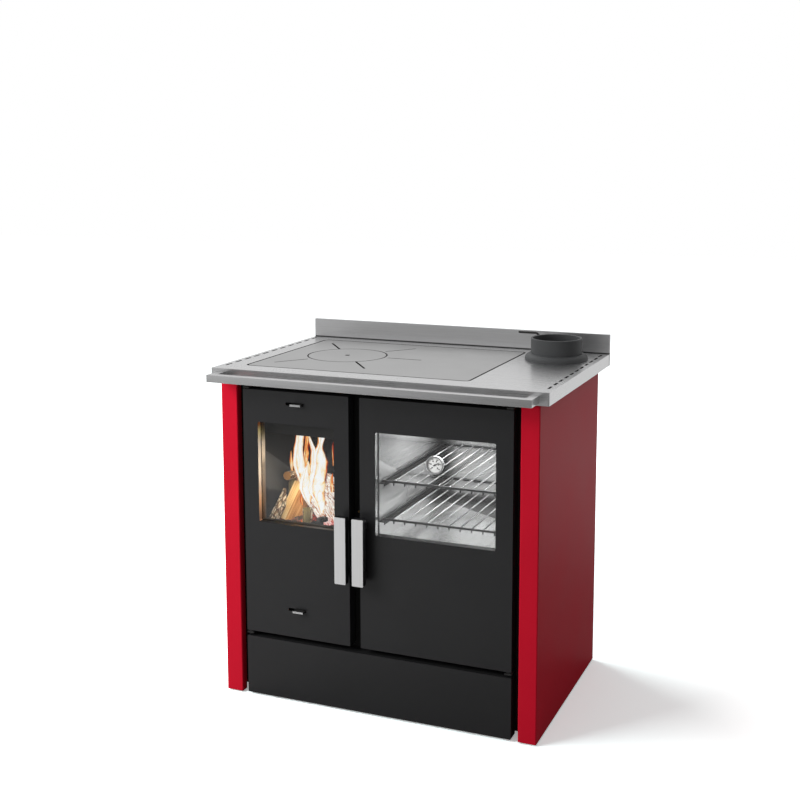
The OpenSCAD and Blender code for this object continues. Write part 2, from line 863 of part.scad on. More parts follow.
module top_plate() {
    color("dimgray") level(plate_under, plate_top) difference() {
        union() {
            rect(-post_x0 + seat, post_x0 - seat, plate_d1, casing_d);
            rect(0, flue_x + flue_r + flue_box_gap + casing_t, flue_d - collar_r, flue_d + flue_r + 6);
        }
        rect(hob_x0 + 2 * carrier_w, hob_x1 - 2 * carrier_w,
            hob_front + 2 * carrier_w, hob_rear - 2 * carrier_w, hob_r);
        translate([flue_x, flue_d]) circle(flue_r - flue_t);
        translate([rod_x, rod_d]) circle(rod_r + turn_fit);
    }
}

module hob_carrier() {
    out = hob_gap + 1;
    wall = 3;
    color("dimgray") {
        level(plate_top, carrier_top) difference() {
            hob_outline(out + wall);
            hob_outline(-carrier_w);
        }
        level(carrier_top - weld, top_under) difference() {
            hob_outline(out + wall);
            hob_outline(out);
        }
    }
}

// Outline of the hob plate, grown or shrunk by g
module hob_outline(g) {
    rect(hob_x0 - g, hob_x1 + g, hob_front - g, hob_rear + g, max(hob_r + g, 1));
}

module hob_seal() {
    color("white") level(carrier_top, hob_under - seat) difference() {
        hob_outline(-2);
        hob_outline(-carrier_w + 2);
    }
}

module hob_plate() {
    color("darkgray") difference() {
        level(hob_under, top_z) difference() {
            hob_outline(0);
            translate([lid_cx, lid_cd]) circle(ledge_r);
            for (turn = short_slits) slit(turn, slit_start, slit_w);
            for (turn = long_slits) slit(turn, ledge_r - 1, slit_long_w);
        }
        post(lid_cx, lid_cd, top_z - lid_t, top_z + 1, lid_r + lid_gap);
    }
}

// Outline of one expansion slit, at an angle round the lid
module slit(turn, start, width) {
    translate([lid_cx, lid_cd]) rotate(turn) rect(start, slit_end, -width / 2, width / 2);
}

module hob_lid() {
    color("darkgray") difference() {
        union() {
            post(lid_cx, lid_cd, top_z - lid_t + seat, top_z, lid_r);
            post(lid_cx, lid_cd, hob_under, top_z - lid_t + seat + weld, lid_r - lid_ledge - lid_gap);
        }
        post(lid_cx, lid_cd, top_z - lid_t + 1, top_z + 1, lifter_r);
    }
}

module worktop() {
    color("silver") {
        level(top_under, top_z) difference() {
            rect(-top_x, top_x, top_front, top_rear, 3);
            hob_outline(hob_gap);
            translate([flue_x, flue_d]) circle(flue_r + 3);
            translate([rod_x, rod_d]) circle(rod_r + 2);
            vent_slots();
        }
        level(edge_z, top_under + weld) difference() {
            rect(-top_x, top_x, top_front, top_rear, 3);
            rect(-top_x + top_t, top_x - top_t, top_front + top_t, top_rear - top_t, 1);
        }
        level(edge_z, edge_z + top_t) difference() {
            rect(-top_x + 1, top_x - 1, top_front + 1, top_rear - 1, 2);
            rect(-top_x + lip_w, top_x - lip_w, top_front + lip_w, top_rear - lip_w, 2);
        }
    }
}

module vent_slots() {
    for (side = [-1, 1], i = [0 : vent_count - 1]) {
        x = side * (top_x - vent_in);
        d = vent_first + i * vent_pitch;
        rect(x - vent_w / 2, x + vent_w / 2, d - vent_l / 2, d + vent_l / 2, vent_w / 2 - 0.2);
    }
}

module backsplash() {
    d0 = top_rear - splash_d;
    color("silver") difference() {
        block(-top_x, top_x, d0, top_rear, top_z, top_z + splash_h);
        block(-top_x + splash_t, top_x - splash_t, d0 + splash_t,
            top_rear - splash_t, top_z - 1, top_z + splash_h - splash_t);
    }
}

module front_rail() {
    z1 = top_z - rail_drop;
    x1 = top_x - rail_in;
    d0 = top_front - rail_out;
    color("silver") difference() {
        rail_shape(x1, d0, z1 - rail_h, z1, 0);
        rail_shape(x1, d0, z1 - rail_h + rail_t, z1 - rail_t, rail_t);
    }
}

// Rail bent in a U and ending on the worktop's edge, drawn g inside its outline
module rail_shape(x1, d0, z0, z1, g) {
    level(z0, z1) difference() {
        rect(-x1 + g, x1 - g, d0 + g, top_front + (g > 0 ? 1 : 0));
        rect(-x1 + rail_d - g, x1 - rail_d + g, d0 + rail_d - g, top_front + 2);
    }
}

module flue_collar() {
    inner = flue_r - flue_t;
    brim = collar_r - flue_r;
    step = 4;
    color([0.28, 0.29, 0.29]) translate([flue_x, front_y + flue_d, 0])
        rotate_extrude($fn = 96) polygon(concat(
        [[inner, plate_top], [flue_r, plate_top], [flue_r, top_z]],
        [[collar_r, top_z], [collar_r, top_z + step]],
        [for (a = [15 : 15 : 90])
            [flue_r + brim * cos(a), top_z + step + (collar_h - step) * sin(a)]],
        [[flue_r, top_z + flue_h - 1], [flue_r - 1, top_z + flue_h],
         [inner + 1, top_z + flue_h], [inner, top_z + flue_h - 1]]
    ));
}

// Damper

module damper_rod() {
    level_z = top_z + rod_up;
    color("black") {
        post(rod_x, rod_d, flap_top - flap_h - 10, level_z - rod_bend, rod_r);
        translate([rod_x - rod_bend, front_y + rod_d, level_z - rod_bend]) rotate([90, 0, 0]) {
            rotate_extrude(angle = 90) translate([rod_bend, 0]) circle(rod_r);
        }
        bar_across(rod_x - rod_reach, rod_x - rod_bend, rod_d, level_z, rod_r);
        translate([rod_x - rod_reach, front_y + rod_d, level_z]) sphere(rod_r);
    }
}

module damper_flap() {
    color("dimgray") difference() {
        block(rod_x - flap_w, rod_x + 1, rod_d - 1, rod_d + 1, flap_top - flap_h, flap_top);
        post(rod_x, rod_d, flap_top - flap_h - 1, flap_top + 1, rod_r);
    }
}

// Door pieces that both doors share

// Shallow tray that makes a door or drawer front
module tray(x0, x1, z0, z1) {
    d1 = door_t - skin_t;
    upright(0, skin_t) rect(x0, x1, z0, z1, 2);
    upright(skin_t - weld, d1) difference() {
        rect(x0, x1, z0, z1, 2);
        rect(x0 + skin_t, x1 - skin_t, z0 + skin_t, z1 - skin_t);
    }
    upright(d1 - skin_t, d1) difference() {
        rect(x0, x1, z0, z1, 2);
        rect(x0 + skin_lip, x1 - skin_lip, z0 + skin_lip, z1 - skin_lip);
    }
}

// Door skin with its window's edges folded in to the glass
module door_skin(x0, x1, win_x0, win_x1, pin_x) {
    color([0.2, 0.2, 0.21]) difference() {
        union() {
            tray_for_frame(x0, x1);
            upright(skin_t - weld, glass_in - seat) {
                rect(win_x0 - skin_t, win_x1 + skin_t, win_z0 - skin_t, win_z1 + skin_t, win_r + skin_t);
            }
        }
        upright(-1, glass_in + 1) rect(win_x0, win_x1, win_z0, win_z1, win_r);
        post(pin_x, hinge_in, door_z0 - 1, door_z1 + 1, pin_r + 1.5);
    }
}

// Tray whose rear stays open for the inner frame
module tray_for_frame(x0, x1) {
    upright(0, skin_t) rect(x0, x1, door_z0, door_z1, 2);
    upright(skin_t - weld, door_t - skin_t) difference() {
        rect(x0, x1, door_z0, door_z1, 2);
        rect(x0 + skin_t, x1 - skin_t, door_z0 + skin_t, door_z1 - skin_t);
    }
}

// Inner frame: solid rim, thin rear wall, wall round the window, bushes for the hinge pins
module door_frame(x0, x1, win_x0, win_x1, grow, pin_x) {
    fx0 = x0 + frame_in;
    fx1 = x1 - frame_in;
    fz0 = door_z0 + frame_in;
    fz1 = door_z1 - frame_in;
    color("black") difference() {
        union() {
            upright(glass_d, door_t) rect(fx0, fx1, fz0, fz1, 1);
            for (z = [fz0, fz1 - pin_l]) {
                block(pin_x - 6.5, pin_x + 6.5, skin_t + seat, glass_d + weld, z, z + pin_l);
            }
        }
        upright(glass_d - 1, door_t - frame_t) difference() {
            rect(fx0 + rim_w, fx1 - rim_w, fz0 + rim_w, fz1 - rim_w, 4);
            rect(win_x0 - grow - win_wall, win_x1 + grow + win_wall,
                win_z0 - grow - win_wall, win_z1 + grow + win_wall, 6);
            children();
        }
        upright(glass_d - 1, door_t + 1)
            rect(win_x0 - grow, win_x1 + grow, win_z0 - grow, win_z1 + grow, win_r);
        upright(door_t - groove_d, door_t + 1) seal_ring(x0, x1);
        for (z = [fz0 - 1, fz1 - pin_l - 1]) post(pin_x, hinge_in, z, z + pin_l + 2, pin_r + turn_fit);
    }
}

// Outline of a door's rope seal
module seal_ring(x0, x1) {
    difference() {
        rect(x0 + seal_in, x1 - seal_in, door_z0 + seal_in, door_z1 - seal_in, 12);
        rect(x0 + seal_in + seal_w, x1 - seal_in - seal_w,
            door_z0 + seal_in + seal_w, door_z1 - seal_in - seal_w, 4);
    }
}

module door_seal(x0, x1) {
    color("gray") upright(door_t - groove_d, plate_d0 - seat) seal_ring(x0, x1);
}

module door_glass(win_x0, win_x1) {
    color([0.7, 0.75, 0.78, 0.35]) upright(glass_in, glass_d) {
        rect(win_x0 - glass_edge, win_x1 + glass_edge, win_z0 - glass_edge, win_z1 + glass_edge, 3);
    }
}

// Four clips that press the glass on the inner frame
module glass_clips(win_x0, win_x1) {
    color("silver") for (x = [win_x0 - skin_t - 3, win_x1 + skin_t + 3], z = [win_z0 + 30, win_z1 - 30]) {
        s = x < (win_x0 + win_x1) / 2 ? -1 : 1;
        block(min(x, x + s * 14), max(x, x + s * 14), glass_in - 2, glass_in, z - 9, z + 9);
        block(min(x + s * 11.5, x + s * 14), max(x + s * 11.5, x + s * 14),
            glass_in - weld, glass_d, z - 9, z + 9);
        bar_back(x + s * 6, z, glass_in - 5, glass_in - 2 + weld, 4);
    }
}

module handle_facing(x0) {
    color("silver") upright(-handle_out, -handle_out + facing_t) {
        rect(x0, x0 + handle_w, handle_z, handle_z + handle_h, 2);
    }
}

// Black grip behind the facing, and its two standoffs
module handle_grip(x0, post_x) {
    d0 = -handle_out + facing_t;
    color("black") {
        upright(d0, d0 + grip_d) rect(x0, x0 + handle_w, handle_z, handle_z + handle_h, 2);
        for (z = [handle_z + post_in, handle_z + handle_h - post_in - post_w]) {
            block(post_x, post_x + post_w, d0 + grip_d - weld, 0, z, z + post_w);
        }
    }
}

fire_latch_x = fire_x1 - latch_in - latch_t;
oven_latch_x = oven_x0 + latch_in;
keeper_d = 8.5;
screw_r = 2;
keeper_screw_x = fire_x1 + 11.5;

// Tongue on a plate, screwed to the back of the inner frame
module latch(x0) {
    color("silver") {
        upright(door_t, plate_d0 - seat - 0.5)
            rect(x0 - 1.5, x0 + latch_t + 1.5, latch_z - 22, latch_z + 22, 1);
        upright(door_t, plate_d1 + 4) rect(x0, x0 + latch_t, latch_z - 12, latch_z + 12, 2);
    }
}

// Box behind each latch slot, one with the screw that shows between the doors
module latch_keepers() {
    color("gold") {
        for (x = [fire_latch_x, oven_latch_x]) difference() {
            block(x - 6.5, x + latch_t + 6.5, plate_d1, plate_d1 + keeper_d, latch_z - 22, latch_z + 22);
            block(x - 5, x + latch_t + 5, plate_d1 - 1,
                plate_d1 + keeper_d - 1.5, latch_z - 20, latch_z + 20);
        }
        block(fire_latch_x + latch_t + 6.5 - weld, keeper_screw_x + 5,
            plate_d1, plate_d1 + 2, latch_z - 10, latch_z + 10);
        bar_back(keeper_screw_x, latch_z, plate_d0 - 2, plate_d0, 3.5);
        bar_back(keeper_screw_x, latch_z, plate_d0 - weld, plate_d1 + weld, screw_r);
    }
}

// Brackets and pins that carry a door
module hinge_pins(x) {
    w = 9;
    low = door_z0 - bracket_t - 4;
    high = door_z1 + 2;
    color("dimgray") {
        block(x - w, x + w, hinge_in - w, plate_d0, low, low + bracket_t);
        post(x, hinge_in, low + bracket_t - weld, door_z0 - seat, pin_r + 3);
        post(x, hinge_in, low + bracket_t - weld, door_z0 + frame_in + pin_l - 1, pin_r);
        block(x - w, x + w, hinge_in - w, plate_d0, high, high + bracket_t);
        post(x, hinge_in, door_z1 - frame_in - pin_l + 1, high + weld, pin_r);
    }
}

module fire_hinge_pins() {
    hinge_pins(fire_hinge_x);
}

module oven_hinge_pins() {
    hinge_pins(oven_hinge_x);
}

// Fire door

slot_x = fire_x0 + slot_in;

module fire_door_skin() {
    difference() {
        door_skin(fire_x0, fire_x1, fire_win_x0, fire_win_x1, fire_hinge_x);
        for (z = [upper_slot_z, lower_slot_z]) upright(-1, skin_t + 1) {
            rect(slot_x - slot_w / 2, slot_x + slot_w / 2, z - slot_h / 2, z + slot_h / 2, 2);
        }
    }
}

module fire_door_frame() {
    difference() {
        union() {
            door_frame(fire_x0, fire_x1, fire_win_x0, fire_win_x1, 0, fire_hinge_x) {
                for (z = [upper_slot_z, lower_slot_z]) {
                    rect(slot_x - guide_w / 2 - 4, slot_x + guide_w / 2 + 4,
                        z - shutter_h / 2 - 5, z + shutter_h / 2 + 5);
                }
            }
            color("black") for (z = [upper_slot_z, lower_slot_z]) shutter_guides(z);
        }
        for (z = [upper_slot_z, lower_slot_z]) air_holes(z, glass_d - 1, door_t + 1);
    }
}

// Two rails in front of the inner frame that the shutter slides between
module shutter_guides(z) {
    h = shutter_h / 2 + seat;
    d0 = glass_d - seat - shutter_t - seat;
    for (s = [0, 1]) {
        z0 = s == 0 ? z - h - 3 : z + h;
        block(slot_x - guide_w / 2, slot_x + guide_w / 2, d0 - 1.5, glass_d + weld, z0, z0 + 3);
        lip = s == 0 ? z0 : z0 - 2;
        block(slot_x - guide_w / 2, slot_x + guide_w / 2, d0 - 1.5, d0, lip, lip + 5);
    }
}

module fire_door_glass() {
    door_glass(fire_win_x0, fire_win_x1);
}

module fire_glass_clips() {
    glass_clips(fire_win_x0, fire_win_x1);
}

module fire_door_seal() {
    door_seal(fire_x0, fire_x1);
}

fire_handle_x = fire_x1 + handle_over - handle_w;

module fire_handle_facing() {
    handle_facing(fire_handle_x);
}

module fire_handle_grip() {
    handle_grip(fire_handle_x, fire_x1 - post_w - 4);
}

module fire_latch() {
    latch(fire_latch_x);
}

// Air holes, one on each side of the tab
module air_holes(z, d0, d1) {
    for (side = [-1, 1]) bar_back(slot_x + tab_x + side * air_pitch, z, d0, d1, air_r);
}

// Shutter behind the skin and the tab that comes out of the slot
module air_shutter(z) {
    x = slot_x + tab_x;
    d1 = glass_d - seat;
    d0 = d1 - shutter_t;
    color("black") difference() {
        union() {
            upright(d0, d1)
                rect(x - shutter_w / 2, x + shutter_w / 2, z - shutter_h / 2, z + shutter_h / 2, 2);
            block(x - tab_w / 2, x + tab_w / 2, -tab_out + tip_l, d0 + weld, z - tab_h / 2, z + tab_h / 2);
        }
        air_holes(z, d0 - 1, d1 + 1);
    }
}

module air_tip(z) {
    x = slot_x + tab_x;
    color("silver") upright(-tab_out, -tab_out + tip_l) {
        rect(x - tab_w / 2, x + tab_w / 2, z - tab_h / 2, z + tab_h / 2, 1);
    }
}

module upper_air_shutter() {
    air_shutter(upper_slot_z);
}

module upper_air_tip() {
    air_tip(upper_slot_z);
}

module lower_air_shutter() {
    air_shutter(lower_slot_z);
}

module lower_air_tip() {
    air_tip(lower_slot_z);
}

// Oven door

module oven_door_skin() {
    door_skin(oven_x0, oven_x1, oven_win_x0, oven_win_x1, oven_hinge_x);
}

module oven_door_frame() {
    door_frame(oven_x0, oven_x1, oven_win_x0, oven_win_x1, 5, oven_hinge_x);
}

module oven_door_glass() {
    door_glass(oven_win_x0, oven_win_x1);
}

module oven_glass_clips() {
    glass_clips(oven_win_x0, oven_win_x1);
}

module oven_door_seal() {
    door_seal(oven_x0, oven_x1);
}

oven_handle_x = oven_x0 - handle_over;

module oven_handle_facing() {
    handle_facing(oven_handle_x);
}

module oven_handle_grip() {
    handle_grip(oven_handle_x, oven_x0 + 4);
}

module oven_latch() {
    latch(oven_latch_x);
}

// Thermometer on the oven glass

module thermometer_case() {
    base = glass_in - (dial_in + 1);
    color("silver") translate([dial_x, front_y + glass_in, dial_z]) rotate([90, 0, 0]) difference() {
        union() {
            cylinder(r = dial_case_r - 2, h = glass_in - 5);
            translate([0, 0, glass_in - 5 - weld]) cylinder(r = dial_case_r, h = 5 + weld);
        }
        translate([0, 0, base]) cylinder(r = dial_r, h = through);
    }
}

module thermometer_dial() {
    color("white") translate([dial_x, front_y + dial_in + 1, dial_z]) rotate([90, 0, 0]) difference() {
        cylinder(r = dial_r, h = 1);
        translate([0, 0, 0.3]) cylinder(r = 0.8 + turn_fit, h = through);
    }
}

module thermometer_needle() {
    color("black") translate([dial_x, front_y + dial_in - 0.6, dial_z]) rotate([90, 0, 0]) {
        cylinder(r = 2, h = 1);
        translate([0, 0, -1]) cylinder(r = 0.8, h = 1 + weld);
        rotate(-needle_deg) linear_extrude(0.6) polygon([
            [-needle_w / 2, -5], [needle_w / 2, -5], [needle_w / 2, 0],
                [0.3, needle_l], [-0.3, needle_l], [-needle_w / 2, 0]
        ]);
    }
}

side_panel_left();
side_panel_right();
back_panel();
base_frame();
levelling_feet();
front_frame();
smoke_casing();
firebox_shell();
lining_left();
lining_right();
lining_back();
fire_grate();
ash_pan();
oven_cavity();
rack_guides();
oven_rack_lower();
oven_rack_upper();
bypass_divider();
drawer_runners();
top_plate();
hob_carrier();
hob_seal();
worktop();
backsplash();
front_rail();
flue_collar();
fire_hinge_pins();
oven_hinge_pins();
latch_keepers();
fire_door_skin();
fire_door_frame();
fire_door_glass();
fire_glass_clips();
fire_door_seal();
fire_handle_facing();
fire_handle_grip();
fire_latch();
upper_air_shutter();
upper_air_tip();
lower_air_shutter();
lower_air_tip();
oven_door_skin();
oven_door_frame();
oven_door_glass();
oven_glass_clips();
oven_door_seal();
oven_handle_facing();
oven_handle_grip();
oven_latch();
thermometer_case();
thermometer_dial();
thermometer_needle();
drawer_front();
drawer_box();
drawer_slides();
hob_plate();
hob_lid();
damper_rod();
damper_flap();
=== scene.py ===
"""Wood-burning cook stove: finishes, rounded edges, firewood, flames and stage on its frame."""

import json
from math import cos, radians, sin, tau

import bmesh
import bpy
from bpy.props import FloatProperty, FloatVectorProperty, IntProperty, PointerProperty
from bpy.types import Operator, Panel, PropertyGroup
from mathutils import Matrix, Vector, noise

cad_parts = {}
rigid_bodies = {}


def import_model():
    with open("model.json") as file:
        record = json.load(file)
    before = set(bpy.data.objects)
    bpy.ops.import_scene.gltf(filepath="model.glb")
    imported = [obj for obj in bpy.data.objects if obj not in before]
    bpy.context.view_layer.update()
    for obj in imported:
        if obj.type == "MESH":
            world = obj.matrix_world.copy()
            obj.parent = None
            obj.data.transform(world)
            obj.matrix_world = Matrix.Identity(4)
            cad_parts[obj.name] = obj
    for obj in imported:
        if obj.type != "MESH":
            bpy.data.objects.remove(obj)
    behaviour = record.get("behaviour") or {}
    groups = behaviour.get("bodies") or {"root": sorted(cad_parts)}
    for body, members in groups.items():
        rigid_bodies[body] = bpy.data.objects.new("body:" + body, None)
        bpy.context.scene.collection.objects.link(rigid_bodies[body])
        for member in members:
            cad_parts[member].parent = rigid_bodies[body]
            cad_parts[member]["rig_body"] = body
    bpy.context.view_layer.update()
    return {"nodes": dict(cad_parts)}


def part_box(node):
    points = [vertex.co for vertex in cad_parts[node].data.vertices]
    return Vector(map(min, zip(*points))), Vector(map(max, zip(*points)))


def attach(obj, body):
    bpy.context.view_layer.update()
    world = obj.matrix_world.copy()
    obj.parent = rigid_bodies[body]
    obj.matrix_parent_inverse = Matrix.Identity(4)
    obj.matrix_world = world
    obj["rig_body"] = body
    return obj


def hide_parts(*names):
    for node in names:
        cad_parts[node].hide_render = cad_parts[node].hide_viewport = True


bl_info = {
    "name": "Cook stove finishes",
    "version": (1, 0, 0),
    "blender": (4, 5, 0),
    "location": "3D View > Sidebar > Stove",
    "description": "Enamel, steel, glass, firewood and flames for a wood-burning cook stove",
    "category": "Object",
}

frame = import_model()
MM = 0.001


def tint(red, green, blue):
    """A display colour, 0 to 255, as the linear colour that shaders take."""
    parts = [c / 255 for c in (red, green, blue)]
    return tuple(c / 12.92 if c <= 0.04045 else ((c + 0.055) / 1.055) ** 2.4 for c in parts)


def grey(level):
    """A linear grey."""
    return (level, level, level)


def scaled(base, share):
    """A colour made darker or lighter."""
    return tuple(c * share for c in base)


# Sizes and colours that a user may change


def colour(name, what, default):
    """A property that holds the colour of something."""
    return FloatVectorProperty(name=name, description="Colour of " + what, subtype="COLOR",
                               size=3, min=0, max=1, default=default)


def power(name, what, default):
    """A property that holds a lamp's power in watts."""
    return FloatProperty(name=name, description="Power of the " + what, unit="POWER",
                         min=0, default=default)


def length(name, description, low, high, default):
    """A property that holds a length in metres."""
    return FloatProperty(name=name, description=description, unit="LENGTH",
                         min=low, max=high, default=default)


class StoveColours(PropertyGroup):
    """Colours of the finishes."""

    enamel: colour("Side enamel", "the folded side panels", (0.62, 0.008, 0.0275))
    paint: colour("Door paint", "the doors and the drawer front", tint(35, 35, 36))
    steel: colour("Worktop steel", "the brushed worktop, rail and upstand", (0.82, 0.82, 0.825))
    plate: colour("Hob steel", "the ground hob plate and its lid", grey(0.53))
    iron: colour("Cast iron", "the flue spigot", tint(62, 63, 64))
    flame: colour("Fire light", "the light that the fire gives", (1.0, 0.78, 0.52))


class StoveSizes(PropertyGroup):
    """Sizes of the pieces that the frame doesn't hold."""

    edge: length("Edge rounding", "Radius of the long edges of sheet metal", 0.0001, 0.004, 0.0009)
    # The dark rim is painted shade round the slits, slots and plates.
    rim: length("Dark rim", "Width of the burnt rim round the slits, slots and plates",
                0.0001, 0.003, 0.0009)
    log_radius: length("Log radius", "Radius of the split logs", 0.008, 0.05, 0.0165)
    log_rings: IntProperty(
        name="Log rings", description="Rings of vertices along a log's bark",
        min=6, max=60, default=30)
    flame_reach: FloatProperty(
        name="Flame width", description="Width of the tongues as a share of the drawn ones",
        subtype="FACTOR", min=0.3, max=2, default=1.0)


class StoveStage(PropertyGroup):
    """Camera and lamps."""

    camera_place: FloatVectorProperty(
        name="Camera", description="Place of the camera", subtype="TRANSLATION", unit="LENGTH",
        size=3, default=(1.2141, -2.9463, 1.4159))
    camera_turn: FloatVectorProperty(
        name="Camera turn", description="Turn of the camera", subtype="EULER", unit="ROTATION",
        size=3, default=(radians(82.248), 0, radians(22.057)))
    lens: FloatProperty(
        name="Lens", description="Focal length on a 36 mm sensor", unit="CAMERA",
        min=10, max=300, default=55.203)
    rear: power("Rear lamp", "high lamp at the left rear", 70)
    front: power("Front lamp", "lamp at the front left", 72)
    oven_lamp: power("Oven light", "soft light under the oven's roof", 1.52)
    fire_lamp: power("Fire light", "light among the logs", 0.29)
    reveal_lamp: power("Reveal light", "fire's light on the edge of its window", 1.15)
    hearth_lamp: power("Hearth light", "light on the front of the logs", 2.4)


SETTINGS = {"stove_colours": StoveColours, "stove_sizes": StoveSizes, "stove_stage": StoveStage}


def colours():
    """The colours set in the sidebar."""
    return bpy.context.scene.stove_colours


def sizes():
    """The sizes set in the sidebar."""
    return bpy.context.scene.stove_sizes


# Shader maths


def joined(operation, swapped=False):
    """A sum of a Wire and another value, as one Math node."""
    def maths(self, other):
        pair = (other, self) if swapped else (self, other)
        return self.graph.maths(operation, *pair)
    return maths


class Wire:
    """A node's output, which takes sums as a number does."""

    def __init__(self, graph, output):
        self.graph = graph
        self.output = output

    __add__, __radd__ = joined("ADD"), joined("ADD", True)
    __sub__, __rsub__ = joined("SUBTRACT"), joined("SUBTRACT", True)
    __mul__, __rmul__ = joined("MULTIPLY"), joined("MULTIPLY", True)
    __truediv__, __pow__ = joined("DIVIDE"), joined("POWER")

    def __abs__(self):
        return self.graph.maths("ABSOLUTE", self)

    def clamp(self):
        """The same value, kept from 0 to 1."""
        return self.graph.node("Math", {0: self, 1: 0.0}, operation="ADD", use_clamp=True)


class Graph:
    """The nodes of a material or of the world."""

    def __init__(self, tree):
        self.tree = tree
        tree.nodes.clear()

    def node(self, kind, sockets=None, outlet=0, **settings):
        """Adds a node with its settings and sockets, and gives one of its outputs."""
        made = self.tree.nodes.new("ShaderNode" + kind)
        for name, value in settings.items():
            setattr(made, name, value)
        for name, value in (sockets or {}).items():
            socket = made.inputs[name]
            if isinstance(value, Wire):
                self.tree.links.new(value.output, socket)
            else:
                socket.default_value = (*value, 1.0) if socket.type == "RGBA" else value
        return Wire(self, made.outputs[outlet])

    def maths(self, operation, *values):
        """One Math node."""
        return self.node("Math", dict(enumerate(values)), operation=operation)

    def stretch(self, vector, scale):
        """A vector scaled along each axis."""
        return self.node("VectorMath", {0: vector, 1: scale}, operation="MULTIPLY")

    def mix(self, factor, a, b):
        """Two colours, mixed by a factor."""
        return self.node("Mix", {0: factor, 6: a, 7: b}, 2, data_type="RGBA")

    def ramp(self, value, *stops):
        """A value turned into a colour; each stop is a place and a display colour."""
        made = self.node("ValToRGB", {"Fac": value})
        elements = made.output.node.color_ramp.elements
        for place, *_ in stops[1:-1]:
            elements.new(place)
        elements[0].position, elements[-1].position = stops[0][0], stops[-1][0]
        for element, (_, *shade) in zip(elements, stops):
            element.color = (*tint(*shade), 1.0)
        return made

    def band(self, value, low, high):
        """0 below low, 1 above high, smooth between."""
        return self.node("MapRange", {"Value": value, "From Min": low, "From Max": high},
                         interpolation_type="SMOOTHSTEP")

    def fade(self, value, low, high):
        """1 below low, 0 above high, smooth between."""
        return 1.0 - self.band(value, low, high)

    def far(self, a, b):
        """The distance of a point from the middle."""
        return self.maths("SQRT", a * a + b * b)

    def ray(self, kind):
        """1 for a ray of a kind, such as Camera, and 0 for others."""
        return self.node("LightPath", outlet=f"Is {kind} Ray")

    def flat(self, level):
        """A value as a grey."""
        return self.node("CombineColor", {0: level, 1: level, 2: level})

    def place(self):
        """The point on the object, in metres."""
        return self.node("TexCoord", outlet="Object")

    def along(self):
        """The point in a log's own frame, in metres."""
        return self.node("Attribute", outlet="Vector", attribute_name="grain")

    def axes(self, vector):
        """The three parts of a vector."""
        made = self.node("SeparateXYZ", {0: vector})
        return [Wire(self, outlet) for outlet in made.output.node.outputs]

    def grain(self, scale, detail=4.0, rough=0.55, at=None, bend=0.0):
        """Noise of one scale, or of a scale along each axis."""
        at = at or self.place()
        if isinstance(scale, tuple):
            at, scale = self.stretch(at, scale), 1.0
        return self.node("TexNoise", {"Vector": at, "Scale": scale, "Detail": detail,
                                      "Roughness": rough, "Distortion": bend})

    def borders(self, scale, at=None):
        """How far a point is from the border between cells."""
        return self.node("TexVoronoi", {"Vector": at or self.place(), "Scale": scale},
                         feature="DISTANCE_TO_EDGE")

    def end(self, shader, kind="Material"):
        """Links a shader to the output."""
        out = self.tree.nodes.new("ShaderNodeOutput" + kind)
        self.tree.links.new(shader.output, out.inputs[0])


class Finish(Graph):
    """A material in the making; its kind tells it from others of the same finish."""

    def __init__(self, name, kind=""):
        self.kind = kind
        self.material = bpy.data.materials.new(name)
        self.material.use_nodes = True
        super().__init__(self.material.node_tree)

    def surface(self, shade, rough, bump=None, glow=None, metal=0.0, gloss=0.5, **others):
        """Ends in a Principled surface; bump is a height, a strength and a depth in metres."""
        sockets = {"Base Color": shade, "Roughness": rough, "Metallic": metal,
                   "Specular IOR Level": gloss, **others}
        if bump:
            named = zip(("Height", "Strength", "Distance"), bump)
            sockets["Normal"] = self.node("Bump", dict(named))
        if glow:
            sockets.update({"Emission Color": glow, "Emission Strength": 1.0})
        self.end(self.node("BsdfPrincipled", sockets))


MATERIALS = {}


def finish(make):
    """Makes a finish give its material, which is built once for each kind."""
    def kept(kind="", *values, **settings):
        name = make.__name__ + ("_" + kind if kind else "")
        if name not in MATERIALS:
            f = Finish(name, kind)
            make(f, *values, **settings)
            MATERIALS[name] = f.material
        return MATERIALS[name]
    return kept


# Finishes

# Slanted lines of painted shade and shadow: how steep one is, and where it crosses zero
SLAB_SHADE_LINE = (0.592, 0.527)
LOG_SHADOW_LINE = (0.39, 0.465)
WALL_SHADOW_LINE = (0.46, 0.558294)
FLOOR_SHADOW_LINE = (0.591, 0.202)
RACK_SHADE_LINE = (0.591, 0.08)

BRUSHED_UP = (500.0, 500.0, 8.0)
FLAME_LIFT = {"white": 0.12, "orange": -0.46, "red": -0.62}
WOOD_TONES = {
    "pale": ((206, 168, 108), (238, 212, 160), (250, 240, 212)),
    "heart": ((126, 82, 42), (200, 150, 90), (238, 200, 138)),
    # Pale wood with painted shade, for logs that lie in shadow.
    "old": ((70, 62, 40), (112, 102, 68), (150, 136, 92)),
}


def past(up, along, line):
    """How far a point lies past a slanted line."""
    slope, start = line
    return up + along * slope - start


@finish
def side_enamel(f):
    """Glossy stove enamel on folded sheet, with a faint orange peel."""
    base = colours().enamel
    cloud, peel, fleck = f.grain(5.0, 3.0), f.grain(420.0, 2.0), f.grain(2600.0, 1.0)
    shade = f.mix(cloud, scaled(base, 0.86), base)
    shade = f.mix(f.band(fleck, 0.66, 0.8) * 0.18, shade, (0.72, 0.16, 0.16))
    f.surface(shade, 0.36 + cloud * 0.08 + peel * 0.05, (peel, 0.09, 0.0004), gloss=0.08)


@finish
def door_paint(f):
    """Satin black stove paint with a fine grain."""
    base = colours().paint
    cloud, grit, wear = f.grain(7.0, 3.0), f.grain(1500.0, 2.0), f.grain((3.0, 3.0, 40.0), 5.0)
    f.surface(f.mix(cloud, scaled(base, 0.88), scaled(base, 1.1)),
              0.27 + grit * 0.06 + wear * 0.05, (grit, 0.06, 0.0003), gloss=0.42)


